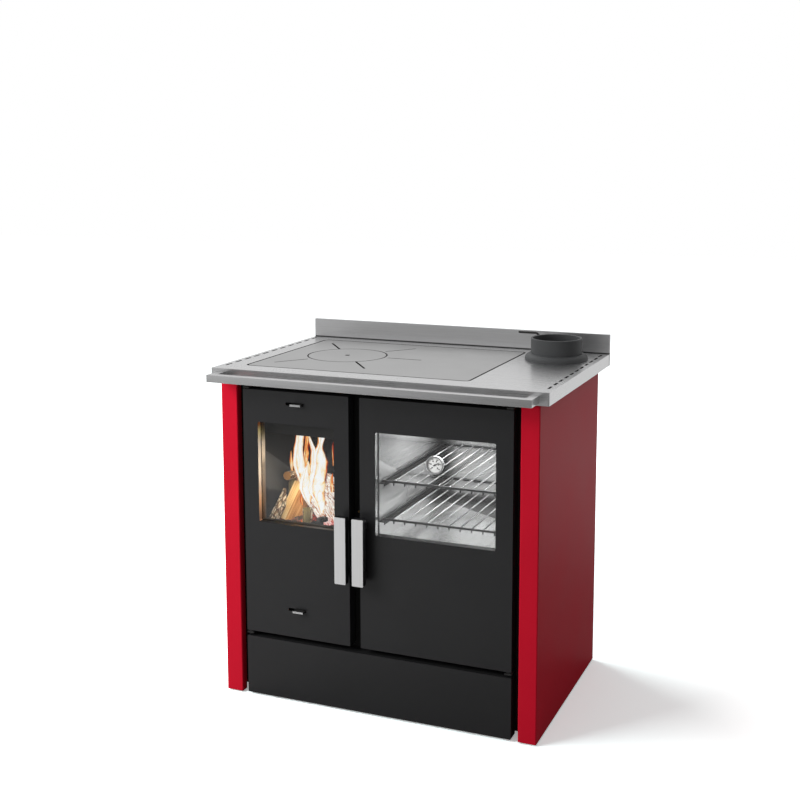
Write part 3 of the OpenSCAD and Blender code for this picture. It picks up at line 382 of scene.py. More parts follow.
@finish
def steel(f, low=0.2, high=0.36, base=None, lines=0, metal=1.0, seam=None):
    """Stainless steel with fine lines along one axis (0, 1 or 2), low to high in roughness.

    The last argument is an axis, where a dark joint with another sheet lies on it, and where the
    painted shade beside the joint ends.
    """
    def brushed(along, across):
        return tuple(along if axis == lines else across for axis in range(3))

    base = base or tuple(colours().steel)
    streaks, bands = f.grain(brushed(7.0, 1400.0), 3.0, 0.6), f.grain(brushed(2.0, 260.0), 2.0)
    haze = f.grain(6.0, 3.0)
    shade = f.mix(f.band(streaks, 0.3, 0.7), scaled(base, 0.9), base)
    shade = f.mix(bands * 0.25, shade, scaled(base, 0.82))
    # Painted shade beside the joint, darkest on the joint line.
    if seam:
        axis, joint, end = seam
        reach = abs(end - joint)
        near = f.fade(abs(f.axes(f.place())[axis] - joint), reach * 0.4, reach)
        shade = f.mix(near * 0.85, shade, grey(0.02))
    f.surface(shade, low + (high - low) * (streaks * 0.6 + haze * 0.4),
              (streaks * 0.7 + bands * 0.3, 0.045, 0.0004), metal=metal)


@finish
def hob_plate_steel(f):
    """The hob's ground and seasoned steel plate."""
    base = colours().plate
    lines, haze = f.grain((9.0, 900.0, 900.0), 3.0), f.grain(9.0, 5.0, bend=0.4)
    shade = f.mix(haze, scaled(base, 0.86), scaled(base, 1.06))
    shade = f.mix(f.band(f.grain(55.0), 0.62, 0.8) * 0.12, shade, (0.38, 0.36, 0.35))
    f.surface(shade, 0.34 + haze * 0.12 + lines * 0.06, (lines, 0.05, 0.0004), metal=1.0)


@finish
def bright_reveal(f):
    """The bare cut edge of the oven door round its glass."""
    lines = f.grain(BRUSHED_UP, 3.0)
    f.surface(f.mix(lines, grey(0.86), grey(0.97)), 0.12 + lines * 0.12, (lines, 0.03, 0.0003),
              metal=1.0)


@finish
def oven_steel(f):
    """Bright oven sheet with painted shade in the rear left corner, a painted shadow on the floor's
    back behind a slanted line, and painted shade on one wall above a slanted line.
    """
    low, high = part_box("oven_cavity")
    x, y, z = f.axes(f.place())
    # Painted shade: darker in the rear left corner.
    corner = f.fade(f.far((x - low.x) * 16.0, (high.y - y) * 7.0), 0.25, 1.0)
    # Painted shadow: the floor darker behind a slanted line.
    floor = f.fade(z, low.z + 0.012, low.z + 0.035)
    rear = f.band(past(y, x, FLOOR_SHADOW_LINE), -0.003, 0.004) * floor
    # Painted shade on the left wall: a little all over, and deep above a slanted line.
    side = f.fade(x, low.x + 0.01, low.x + 0.02)
    above = f.band(past(z, y, WALL_SHADOW_LINE), -0.002, 0.003)
    shade = f.mix(f.grain(4.0, 2.0), grey(0.85), grey(0.96))
    shade = f.mix(side * (0.07 + above * 0.42), shade, grey(0.2))
    shade = f.mix(rear * 0.88, shade, grey(0.05))
    shade = f.mix(corner * 0.85, shade, grey(0.05))
    f.surface(shade, 0.1 + f.grain((900.0, 9.0, 900.0), 3.0) * 0.05, metal=0.7)


@finish
def rack_steel(f):
    """Chromed wires in a frame, with painted shade on the frame and on some wires; the kind is the
    rack's node.
    """
    low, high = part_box(f.kind)
    x, y, _ = f.axes(f.place())
    middle, half = (low.x + high.x) / 2, (high.x - low.x) / 2
    sides, rear = abs(x - middle), high.y
    # Painted shade: the frame's sides, rear and front bar turn dark and less metallic.
    rim = (f.band(sides, half - 0.009, half - 0.007) + f.band(y, rear - 0.009, rear - 0.007)
           + 1.0 - f.band(y, low.y + 0.006, low.y + 0.008)).clamp()
    stain = f.grain(80.0, 3.0)
    # Painted shade on the wires: the lower rack's behind a slanted line at the right, the upper
    # rack's towards the rear.
    if f.kind.endswith("lower"):
        rack_shade = f.band(x, 0.12, 0.18) * f.fade(past(y, x, RACK_SHADE_LINE), -0.012, 0.012)
    else:
        rack_shade = f.band(y, rear - 0.13, rear - 0.07)
    wires = f.mix(rack_shade * 0.85, f.mix(stain, grey(0.7), grey(0.85)), (0.1, 0.1, 0.105))
    f.surface(f.mix(rim, wires, (0.012, 0.012, 0.013)), 0.16 + stain * 0.1 + rim * 0.2,
              metal=1.0 - rim * 0.9)


@finish
def galvanised(f):
    """Zinc-coated sheet with its faint spangle."""
    cells = f.node("TexVoronoi", {"Vector": f.place(), "Scale": 70.0}, "Color", feature="F1")
    spangle, haze = f.axes(cells)[0], f.grain(12.0)
    f.surface(f.mix(spangle * 0.6 + haze * 0.4, (0.42, 0.43, 0.45), (0.6, 0.61, 0.63)),
              0.34 + spangle * 0.12 + haze * 0.1, (spangle, 0.02, 0.0004), metal=1.0)


@finish
def black_steel(f):
    """Matt black heat-proof paint on sheet steel, with a little dust."""
    dust, grit = f.grain(24.0, 5.0), f.grain(900.0, 2.0)
    f.surface(f.mix(dust, tint(24, 24, 25), tint(44, 43, 42)), 0.52 + dust * 0.16 + grit * 0.08,
              (grit, 0.12, 0.0004))


@finish
def sooted_steel(f):
    """Sheet that is black and sooty."""
    dust = f.grain(30.0)
    f.surface(f.mix(dust, tint(9, 9, 9), tint(24, 23, 22)), 0.6 + dust * 0.2,
              (dust, 0.1, 0.0004), gloss=0.25)


@finish
def fire_reflection(f):
    """Bare steel round the fire's glass with a painted reflection of the fire: near white at mid
    height, browner and darker towards its ends; the dark kind is painted shade with a painted
    lighter band.
    """
    low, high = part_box("fire_door_glass")
    up = (f.axes(f.place())[2] - low.z) * (1.0 / (high.z - low.z))
    lines = f.grain(BRUSHED_UP, 3.0)
    # Painted reflection of the fire along the glass's height.
    shade = f.ramp(up + (lines - 0.5) * 0.1,
                   (0.0, 195, 137, 110), (0.1, 205, 162, 137), (0.22, 250, 202, 160),
                   (0.36, 227, 204, 192), (0.5, 247, 238, 230), (0.75, 255, 250, 244),
                   (0.87, 255, 244, 178), (0.92, 191, 118, 79), (0.98, 60, 36, 28))
    # The dark kind: painted shade, lighter in a painted band a little above mid height.
    if f.kind == "dark":
        lit = f.fade(abs(up - 0.69), 0.04, 0.16)
        shade = f.mix(0.9 * (1.0 - lit * 0.6), shade, tint(70, 64, 60))
    f.surface(shade, 0.3 + lines * 0.12, (lines, 0.03, 0.0003), metal=0.1)


@finish
def dark_gap(f):
    """Painted shade, near black with a faint grain: the cut edges in the slits and slots of the
    steel plates, the rims round them and the plates' hidden faces.
    """
    dust = f.grain(60.0)
    f.surface(f.mix(dust, tint(8, 8, 8), tint(20, 19, 19)), 0.7 + dust * 0.2, (dust, 0.2, 0.0004))


@finish
def cast_iron(f, base, rough):
    """Painted cast iron with the sand's fine grain."""
    sand, lumps, cloud = f.grain(760.0), f.grain(70.0, 3.0), f.grain(18.0, 3.0)
    f.surface(f.mix(cloud, scaled(base, 0.84), scaled(base, 1.12)), rough + sand * 0.12,
              (sand * 0.7 + lumps * 0.6, 0.22, 0.0006))


@finish
def fire_slab(f):
    """A fireproof slab with painted shade above a slanted line and a painted shadow of the logs
    below another.
    """
    _, y, z = f.axes(f.place())
    pores, cloud = f.grain(240.0), f.grain(14.0, 5.0)
    # Painted shade above one slanted line and a painted shadow of the logs below the other, both in
    # the near-black tone.
    slab_shade = f.band(past(z, y, SLAB_SHADE_LINE) + (cloud - 0.5) * 0.006, -0.002, 0.003)
    log_shadow = f.fade(past(z, y, LOG_SHADOW_LINE) + (cloud - 0.5) * 0.03, -0.006, 0.012)
    slab_lit = f.mix(cloud, tint(48, 50, 54), tint(76, 79, 84))
    slab_dark = f.mix(cloud, tint(8, 8, 8), tint(18, 17, 17))
    f.surface(f.mix((slab_shade + log_shadow).clamp(), slab_lit, slab_dark), 0.82 + pores * 0.12,
              (pores + cloud * 0.5, 0.35, 0.0012), gloss=0.08)


@finish
def rope_seal(f):
    """Braided glass-fibre rope."""
    x, y, z = f.axes(f.place())
    one = f.maths("SINE", (x + z) * 900.0 + y * 500.0)
    two = f.maths("SINE", (x - z) * 900.0 - y * 500.0)
    weave, fuzz = f.maths("MAXIMUM", one, two), f.grain(1500.0, 3.0)
    shade = f.mix((weave * 0.5 + 0.5) * 0.6 + fuzz * 0.4, tint(96, 92, 86), tint(168, 163, 152))
    f.surface(shade, 0.9, (weave + fuzz * 0.5, 0.7, 0.0012), **{"Sheen Weight": 0.15})


@finish
def window_glass(f):
    """Clear heat-proof glass: the floor and the fire mirror in it at a slant."""
    gloss = f.node("BsdfAnisotropic", {"Color": grey(1.0), "Roughness": 0.015})
    clear = f.node("BsdfTransparent", {"Color": (0.965, 0.972, 0.97)})
    slant = f.node("LayerWeight", {"Blend": 0.5}, "Facing") ** 5.0
    mirror = (0.05 + slant * 0.95) * (0.85 + f.grain((6.0, 6.0, 14.0)) * 0.3)
    f.end(f.node("MixShader", {0: mirror.clamp(), 1: clear, 2: gloss}))


@finish
def grip_plastic(f):
    """Satin black moulded grip."""
    grit, cloud = f.grain(1800.0, 2.0), f.grain(30.0, 3.0)
    f.surface(f.mix(cloud, tint(17, 17, 18), tint(28, 28, 29)), 0.42 + grit * 0.12,
              (grit, 0.1, 0.0003))


@finish
def brass(f):
    """Turned brass, a little tarnished."""
    cloud = f.grain(160.0)
    f.surface(f.mix(cloud, (0.36, 0.24, 0.1), (0.72, 0.5, 0.22)), 0.24 + cloud * 0.2,
              (cloud, 0.05, 0.0003), metal=1.0)


def dial():
    """The middle of the thermometer's dial, on its face, and its radius."""
    low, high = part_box("thermometer_dial")
    return Vector(((low.x + high.x) / 2, low.y, (low.z + high.z) / 2)), (high.x - low.x) / 2


@finish
def dial_face(f):
    """White dial with a ring of fine divisions."""
    middle, radius = dial()
    x, _, z = f.axes(f.place())
    right, up = (x - middle.x) / radius, (z - middle.z) / radius
    far = f.far(right, up)
    turn = f.maths("ARCTAN2", right, up) * (1 / tau) + 0.5
    step = abs(f.maths("FRACT", turn * 30.0) - 0.5)
    tick = f.fade(step, 0.07, 0.1) * f.band(far, 0.79, 0.81) * f.fade(far, 0.9, 0.92)
    off = abs(turn - 0.5)
    use = f.band(off, 0.0, 0.001) * f.fade(off, 0.385, 0.39)
    ink = (tick * use + f.band(far, 0.94, 0.96) * 0.35).clamp()
    cloud = f.grain(200.0, 2.0)
    paper = f.mix(cloud, tint(240, 240, 238), tint(252, 252, 250))
    f.surface(f.mix(ink, paper, tint(35, 35, 36)), 0.45 + cloud * 0.08)


@finish
def printed_ink(f):
    """The dial's printed black."""
    f.surface(f.mix(f.grain(900.0, 2.0), tint(14, 14, 15), tint(30, 30, 31)), 0.5)


@finish
def bark(f):
    """Ridged bark, cold or burning."""
    at = f.along()
    ridges = f.grain((150.0, 150.0, 42.0), 5.0, at=at, bend=0.8)
    cracks = f.fade(f.borders(1.0, f.stretch(at, (130.0, 130.0, 52.0))), 0.02, 0.2)
    if not f.kind:
        shade = f.ramp(ridges, (0.34, 84, 58, 44), (0.45, 172, 140, 112), (0.56, 255, 246, 226))
        f.surface(f.mix(cracks * 0.8, shade, tint(44, 30, 22)), 0.88,
                  (ridges + (1.0 - cracks) * 0.6, 0.9, 0.002))
        return
    flecks = f.grain((380.0, 380.0, 70.0), 3.0, at=at)
    hot = f.band(flecks * 0.6 + ridges * 0.55, 0.47, 0.62)
    fire = f.ramp(hot, (0.0, 70, 30, 18), (0.22, 196, 100, 52), (0.42, 255, 206, 150),
                  (0.68, 255, 252, 244))
    cool = f.fade(f.axes(f.place())[2], 0.455, 0.485) * 0.8
    glow = f.mix(cool * (1.0 - hot * 0.5), f.mix(cracks * 0.4, fire, tint(150, 72, 40)),
                 tint(226, 72, 88))
    f.surface(tint(40, 24, 18), 0.9, (ridges - cracks, 0.9, 0.002), glow)


@finish
def split_wood(f):
    """The face of a split log, with long fibres: pale sap wood, heart wood, or pale wood darkened
    by painted shade for logs in shadow.
    """
    at = f.along()
    fibres = f.grain((260.0, 260.0, 9.0), 5.0, at=at, bend=0.3)
    tone = f.grain((60.0, 60.0, 14.0), 3.0, at=at)
    stops = zip((0.34, 0.5, 0.66), WOOD_TONES[f.kind])
    shade = f.ramp(fibres * 0.6 + tone * 0.4, *((place, *tones) for place, tones in stops))
    f.surface(shade, 0.78, (fibres, 0.6, 0.0012))


@finish
def log_end(f):
    """A sawn end with its rings."""
    x, y, _ = f.axes(f.along())
    rings = f.maths("SINE", f.far(x, y) * 2600.0 + f.grain(90.0, 2.0) * 6.0) * 0.5 + 0.5
    f.surface(f.mix(rings, tint(140, 96, 50), tint(190, 146, 84)), 0.8, (rings, 0.3, 0.001))


@finish
def charcoal(f):
    """Cracked charcoal with grey ash on it."""
    ash = f.grain(120.0, 5.0)
    f.surface(f.mix(f.band(ash, 0.5, 0.75), tint(26, 25, 25), tint(112, 106, 100)), 0.85,
              (f.band(f.borders(150.0), 0.0, 0.12) + ash * 0.4, 0.8, 0.002))


@finish
def ember_bed(f):
    """Ash and charcoal with red heat in the cracks."""
    cells, ash = f.borders(105.0), f.grain(70.0, 5.0)
    side = f.band(f.axes(f.place())[0], -0.3, -0.16)
    heat = f.fade(cells, 0.02, 0.22) * f.band(ash, 0.42, 0.6) * (0.15 + side * 0.85)
    glow = f.ramp(heat, (0.0, 0, 0, 0), (0.35, 150, 30, 24), (0.7, 244, 96, 70),
                  (1.0, 255, 204, 150))
    f.surface(f.mix(ash, tint(30, 27, 25), tint(92, 84, 78)), 0.9,
              (cells + ash * 0.4, 0.8, 0.003), glow)


@finish
def flame(f):
    """A tongue of flame: white at its heart, orange and clear at its edge."""
    u, v, _ = f.axes(f.node("UVMap", uv_map="tongue"))
    wisp = f.grain((150.0, 60.0, 26.0), 3.0, 0.5, bend=0.8) - 0.5
    body, tip = 1.0 - abs(u * 2.0 - 1.0) ** 5.0, 1.0 - v ** 4.0
    heat = (body * (0.76 + tip * 0.15) + FLAME_LIFT[f.kind] + wisp * 1.7).clamp()
    glow = f.ramp(heat, (0.0, 104, 14, 6), (0.12, 206, 62, 14), (0.27, 250, 140, 52),
                  (0.44, 255, 204, 122), (0.66, 255, 238, 200), (0.95, 255, 255, 255))
    alpha = f.band(body * tip + wisp * 0.2, 0.02, 0.5)
    f.surface(grey(0.0), 1.0, None, glow, gloss=0.0, Alpha=alpha)


# Pieces

SAME_POINT = 0.003 * MM
FLAT_ANGLE = radians(0.6)
ROUNDED_ANGLE = radians(40)
RIM_ANGLE = radians(60)
LAID_FLAT = Matrix.Rotation(radians(90), 4, "X")


def add(name, data):
    """A new object in the scene."""
    made = bpy.data.objects.new(name, data)
    bpy.context.scene.collection.objects.link(made)
    return made


def hang(name, kind, place, watts, aim=None, glossy=False, **settings):
    """A lamp that the camera doesn't see, turned to the point aim, or down without one."""
    lamp = bpy.data.lights.new(name, kind)
    lamp.energy = watts
    for key, value in settings.items():
        setattr(lamp, key, value)
    holder = add(name, lamp)
    holder.location = place
    if aim:
        way = Vector(aim) - Vector(place)
        holder.rotation_euler = way.to_track_quat("-Z", "Y").to_euler()
    holder.visible_camera = False
    holder.visible_glossy = glossy


def coat(material, *nodes):
    """Gives CAD nodes one material."""
    for name in nodes:
        mesh = frame["nodes"][name].data
        mesh.materials.clear()
        mesh.materials.append(material)


def publish(bm, name, slot, body, *materials, turn=35):
    """Ends a bmesh as a piece that rides on a body; edges above a turn in degrees stay sharp."""
    mesh = bpy.data.meshes.new(name)
    bm.to_mesh(mesh)
    bm.free()
    mesh.shade_smooth()
    mesh.set_sharp_from_angle(angle=radians(turn))
    for material in materials:
        mesh.materials.append(material)
    piece = add(name, mesh)
    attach(piece, body)
    return piece


def softened(node, slot, material, inner=None, where=None, rim=0.0, radius=None):
    """A copy of a CAD node with its long edges rounded. Faces that where picks are inner ones.

    With a rim, the edges of those faces are chamfered by it instead, in the inner material.
    """
    cad, radius, bm = frame["nodes"][node], radius or sizes().edge, bmesh.new()
    bm.from_mesh(cad.data)
    bmesh.ops.remove_doubles(bm, verts=bm.verts, dist=SAME_POINT)
    bmesh.ops.dissolve_limit(bm, angle_limit=FLAT_ANGLE, verts=bm.verts, edges=bm.edges)
    for face in bm.faces if inner else ():
        face.material_index = int(where(face.calc_center_median(), face.normal))
    if rim:
        around = [e for e in bm.edges if e.calc_face_angle(0) > RIM_ANGLE
                  and len({face.material_index for face in e.link_faces}) == 2
                  and max(face.normal.z for face in e.link_faces) > 0.9]
        made = bmesh.ops.bevel(bm, geom=around, offset=rim, offset_type="OFFSET", segments=1,
                               profile=0.5, affect="EDGES", clamp_overlap=False, material=-1)
        for face in made["faces"]:
            face.material_index = 1
    sharp = [e for e in bm.edges if e.calc_length() > 4 * radius
             and e.calc_face_angle(0) > ROUNDED_ANGLE
             and not (rim and any(face.material_index for face in e.link_faces))]
    bmesh.ops.bevel(bm, geom=sharp, offset=radius, offset_type="OFFSET", segments=2, profile=0.5,
                    affect="EDGES", clamp_overlap=True, material=-1)
    materials = (material, inner) if inner else (material,)
    piece = publish(bm, node + ".rounded", slot, cad["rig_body"], *materials)
    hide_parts(node)
    piece.modifiers.new("even", "WEIGHTED_NORMAL").keep_sharp = True


def spline(points, share):
    """A point on a smooth line through points, share from 0 to 1."""
    last = len(points) - 1
    step = min(int(share * last), last - 1)
    t = share * last - step
    p = [points[min(max(step + k, 0), last)] for k in (-1, 0, 1, 2)]
    return tuple(0.5 * (2 * b + (c - a) * t + (2 * a - 5 * b + 4 * c - d) * t * t
                        + (3 * b - a - 3 * c + d) * t ** 3) for a, b, c, d in zip(*p))


def log(name, foot, top, radius, seed, cuts, materials):
    """A piece of firewood from foot to top, shaped by noise and cuts."""
    foot, top = Vector(foot), Vector(top)
    tall = (top - foot).length
    axis = (top - foot).to_track_quat("Z", "Y").to_matrix()
    bm = bmesh.new()
    local = bm.verts.layers.float_vector.new("grain")
    bmesh.ops.create_cone(bm, cap_ends=True, segments=36, radius1=radius, radius2=radius * 0.93,
                          depth=tall)
    for face in bm.faces:
        face.material_index = 2 if abs(face.normal.z) > 0.9 and len(materials) > 2 else 0
    sides = [e for e in bm.edges if abs(e.verts[0].co.z - e.verts[1].co.z) > tall / 2]
    bmesh.ops.subdivide_edges(bm, edges=sides, cuts=sizes().log_rings, use_grid_fill=True)
    for v in bm.verts:
        spot = Vector((v.co.x * 60, v.co.y * 60, v.co.z * 16 + seed * 7.3))
        fine = Vector((v.co.x * 190, v.co.y * 190, v.co.z * 70 + seed * 3.1))
        v.co.xy = v.co.xy * (1 + 0.16 * noise.noise(spot) + 0.09 * noise.noise(fine))
    for way, distance, index in cuts:
        out = axis.inverted() @ Vector(way)
        out = Vector((out.x, out.y, 0)).normalized()
        if distance is None:
            point = Vector((0, 0, tall / 2)) - out * radius * 0.5
            out = (out + Vector((0, 0, 0.5))).normalized()
        else:
            point = out * distance * radius
        slice_off(bm, point, out, index)
    for v in bm.verts:
        v[local] = v.co
    bm.transform(Matrix.Translation((foot + top) / 2) @ axis.to_4x4())
    bmesh.ops.recalc_face_normals(bm, faces=bm.faces)
    publish(bm, name, "firewood", "stove", *materials, turn=50)


def slice_off(bm, point, out, index):
    """Cuts away what lies beyond a plane and closes the cut."""
    cut = bmesh.ops.bisect_plane(bm, geom=bm.verts[:] + bm.edges[:] + bm.faces[:], dist=0.00001,
                                 plane_co=point, plane_no=out, clear_outer=True)
    rim = [g for g in cut["geom_cut"] if isinstance(g, bmesh.types.BMEdge)]
    made = bmesh.ops.edgenet_fill(bm, edges=rim, mat_nr=index)
    for face in made["faces"]:
        face.material_index = index


def tongue(bm, points, deep):
    """Adds one tongue of flame, a bowed ribbon along points of (x, y, z, half width)."""
    uv = bm.loops.layers.uv.get("tongue") or bm.loops.layers.uv.new("tongue")
    verts = bmesh.ops.create_grid(bm, x_segments=10, y_segments=36, size=1)["verts"]
    spots = {v: v.co.copy() for v in verts}
    for v in verts:
        across, share = spots[v].x, (spots[v].y + 1) / 2
        x, y, z, half = spline(points, share)
        half = (max(half, 0.0002) * sizes().flame_reach
                * (1 + 0.13 * noise.noise(Vector((across * 0.7, z * 55, x * 40)))))
        x += 0.16 * half * noise.noise(Vector((7.7, z * 38, x * 40)))
        bow = 1 - across * across
        if deep:
            v.co = Vector((x + 0.4 * half * bow, y + across * half, z))
        else:
            v.co = Vector((x + across * half, y - 0.6 * half * bow, z))
    for face in {f for v in verts for f in v.link_faces}:
        for loop in face.loops:
            spot = spots[loop.vert]
            loop[uv].uv = ((spot.x + 1) / 2, (spot.y + 1) / 2)


# What lies and burns in the firebox

# Logs: foot, top, radius as a share of the usual one, seed and cuts. A cut is the direction that
# its face looks in, its distance from the middle in radii, or None where it slopes off the tip,
# and its material.
LOGS = {
    "bark": ((-0.3175, -0.205, 0.452), (-0.288, -0.164, 0.536), 0.9, 1, ((0.8, 0.6, 0), None, 1)),
    "split": ((-0.291, -0.172, 0.456), (-0.265, -0.124, 0.546), 2.4, 2,
              ((-0.45, -0.9, 0.1), 0.18, 1), ((0.8, -0.6, 0.1), 0.14, 3), ((-1, 0.4, 0), 0.72, 0)),
    "behind": ((-0.296, -0.13, 0.468), (-0.308, -0.098, 0.55), 0.68, 3, ((0.3, -0.9, 0), 0.4, 4)),
    "round": ((-0.3095, -0.128, 0.564), (-0.3115, -0.01, 0.545), 0.68, 4),
    "short": ((-0.2195, -0.188, 0.454), (-0.2306, -0.163, 0.4925), 0.8, 8,
              ((0.2, -0.9, 0.3), 0.6, 4)),
    "burning_front": ((-0.1615, -0.177, 0.4545), (-0.2558, -0.13, 0.5254), 0.75, 5,
                      ((0.3, -0.8, 0.5), 0.7, 0)),
    "burning_right": ((-0.1445, -0.162, 0.464), (-0.216, -0.118, 0.537), 1.1, 6,
                      ((-0.3, -0.9, 0.3), 0.75, 0)),
    "burning_back": ((-0.14, -0.07, 0.482), (-0.27, 0.02, 0.52), 1.3, 7),
}

# Lumps of charcoal: x, y, z and size in metres, and turn in degrees
LUMPS = (
    (-0.1903, -0.19, 0.463, 0.026, 20), (-0.1776, -0.184, 0.4745, 0.022, 35),
    (-0.172, -0.197, 0.459, 0.02, -15), (-0.208, -0.198, 0.453, 0.015, 60),
    (-0.246, -0.198, 0.451, 0.013, 80), (-0.268, -0.203, 0.448, 0.012, 10),
)


def upright(y, *points):
    """A tongue that stays at one depth."""
    return tuple((x, y, z, half) for x, z, half in points)


# Tongues of flame, each a line of points: x, y, z and half its width, in mm
WHITE = (
    ((-246.4, -145, 518.4, 8), (-244.8, -140, 534.3, 15), (-253.7, -130, 544.4, 19),
     (-264, -120, 554.4, 19), (-274, -110, 564.6, 19), (-284, -100, 574.9, 19), *upright(-95.5,
     (-291, 586.8, 18), (-292.9, 600.4, 17), (-291.7, 617.7, 14.5), (-290.3, 634.9, 13),
     (-288.1, 652.3, 12.5), (-285.1, 673, 12.5), (-281, 700, 13), (-277, 725, 10))),
    ((-187, -170, 487, 5), (-189, -170, 494.3, 9), (-194, -167, 509.7, 15), (-202, -160, 523.8, 20),
     (-211.6, -150, 537, 24), (-218.7, -135, 549.3, 27), (-223.4, -120, 561.9, 26),
     (-225.3, -110, 576.3, 25), *upright(-105.5, (-226, 592.1, 24.5), (-224.9, 609.2, 23.5),
     (-224.1, 622.9, 19), (-223.7, 636.5, 12.5), (-221.7, 646.9, 8), (-218.9, 660.6, 7.5),
     (-216.3, 674.4, 10), (-212, 700, 9), (-210, 715, 5))),
    upright(-110.5, (-238.5, 566, 9), (-238.5, 581.9, 11.5), (-237.3, 602.4, 10.5),
        (-236.5, 619.5, 10), (-237.5, 633, 7.2), (-240.5, 642.9, 6.6), (-245.6, 656, 5.1),
        (-251.1, 670.7, 3), (-254.5, 683, 1)),
    ((-229, -160, 503, 3), (-233, -157, 512, 9), (-239, -152, 523, 16), (-246, -146, 538, 19),
     (-252, -138, 554, 17), (-254, -130, 572, 11), (-253, -125, 588, 6), (-251, -122, 602, 2)),
)
ORANGE = (
    upright(-85.5, (-270.6, 550, 5), (-270.6, 565.8, 6), (-272.2, 582.8, 6), (-273.9, 599.9, 6),
        (-272.9, 617.1, 7.7), (-272.5, 634.3, 6.7), (-271.3, 651.5, 6), (-270.1, 668.8, 5.5),
        (-269, 690, 5)),
    ((-241.6, -120, 549.9, 6), (-257.4, -100, 560.3, 9.5), *upright(-90, (-264.3, 574.4, 11.5),
     (-267, 587.8, 8.6), (-267, 600, 3))),
    upright(-100.5, (-307.5, 556, 1.5), (-308.8, 569.1, 3.4), (-310.8, 586.1, 4.6),
        (-312.2, 599.7, 4.4), (-312.7, 613.4, 3.1), (-311.5, 627.3, 1)),
    upright(-120.5, (-181.4, 530, 4), (-181.4, 542.7, 5.2), (-181.6, 556.2, 5.6),
        (-180.7, 569.8, 4.1), (-178.7, 583.5, 0.7)),
)
RED = (
    upright(-190.5, (-234.8, 450.5, 1.9), (-234.8, 456.2, 3.4), (-234.7, 463, 2.6),
        (-234.2, 472.5, 0.7)),
    upright(-80.5, (-196.5, 590, 1.2), (-196.5, 606.1, 2), (-196.7, 623.1, 2.8),
        (-196.5, 640.1, 2.6), (-195.6, 657.2, 0.8)),
    upright(-150, (-254, 495, 3), (-256, 508, 5), (-254.5, 521, 4), (-252, 534, 1)),
)


def fringe(x, y, z, half):
    """A tongue's point as the camera sees it, but set back and wider, for its orange fringe."""
    back = -83 - y
    return x - 0.53 * back, y + back, z - 0.29 * back, half * 1.06 + 1.8


HALO = tuple(tuple(fringe(*point) for point in points) for points in WHITE[:3])


# Operators


class STOVE_OT_side_panels(Operator):
    """Enamels the folded side panels and coats the rear panel"""

    bl_idname = "stove.side_panels"
    bl_label = "Side and rear panels"

    def execute(self, context):
        for side in ("left", "right"):
            softened("side_panel_" + side, "red_enamel", side_enamel())
        coat(galvanised(), "back_panel")
        return {"FINISHED"}


class STOVE_OT_worktop(Operator):
    """Brushes the worktop, the upstand behind it and the rail in front"""

    bl_idname = "stove.worktop"
    bl_label = "Worktop and rail"

    def execute(self, context):
        (low, high), (wall, _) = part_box("worktop"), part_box("backsplash")
        edge = 0.004

        # Painted shade: the worktop's faces underneath and inside its folded edge, and the walls
        # and rims of its slits and slots, are near black.
        def hidden(centre, normal):
            inside = (low.x + edge < centre.x < high.x - edge
                      and low.y + edge < centre.y < high.y - edge)
            return normal.z < -0.5 or (abs(normal.z) < 0.6 and inside)

        # Painted shade along the joint between the worktop and the upstand.
        flat = steel("worktop", seam=(1, wall.y, wall.y - 0.006))
        rear = steel("upstand", 0.32, 0.42, seam=(2, high.z, high.z + 0.004))
        softened("worktop", "stainless", flat, dark_gap(), hidden, sizes().rim)
        softened("backsplash", "stainless", rear)
        softened("front_rail", "stainless", steel("rail", 0.18, 0.3, scaled(colours().steel, 0.92)))
        return {"FINISHED"}


class STOVE_OT_hob(Operator):
    """Grinds the hob plate and its lid, and finishes what carries them"""

    bl_idname = "stove.hob"
    bl_label = "Hob"

    def execute(self, context):
        for node in ("hob_plate", "hob_lid"):
            # Painted shade: the sides and undersides of the hob plates and the rims round their
            # tops are near black.
            softened(node, "hob_steel", hob_plate_steel(), dark_gap(),
                     lambda centre, normal: normal.z < 0.6, sizes().rim)
        coat(black_steel(), "hob_carrier", "top_plate")
        coat(rope_seal(), "hob_seal")
        return {"FINISHED"}


class STOVE_OT_flue(Operator):
    """Finishes the cast flue spigot, the damper and its rod"""

    bl_idname = "stove.flue"
    bl_label = "Flue and damper"

    def execute(self, context):
        coat(cast_iron("spigot", colours().iron, 0.5), "flue_collar")
        coat(black_steel(), "damper_rod", "damper_flap", "bypass_divider", "smoke_casing")
        return {"FINISHED"}


class STOVE_OT_carcass(Operator):
    """Finishes the base frame, the front plate, the feet and the door hardware on them"""

    bl_idname = "stove.carcass"
    bl_label = "Frame and feet"

    def execute(self, context):
        coat(black_steel(), "base_frame", "fire_hinge_pins", "oven_hinge_pins")
        coat(sooted_steel(), "front_frame")
        coat(grip_plastic(), "levelling_feet")
        coat(brass(), "latch_keepers")
        coat(galvanised(), "drawer_runners")
        return {"FINISHED"}


def reveal_of(node):
    """A test for the faces of a window's opening in a door's skin or frame."""
    (low, high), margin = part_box(node), 0.03

    def reveal(centre, normal):
        return (abs(normal.x) > 0.7 and low.x + margin < centre.x < high.x - margin
                and low.z + margin < centre.z < high.z - margin)
    return reveal


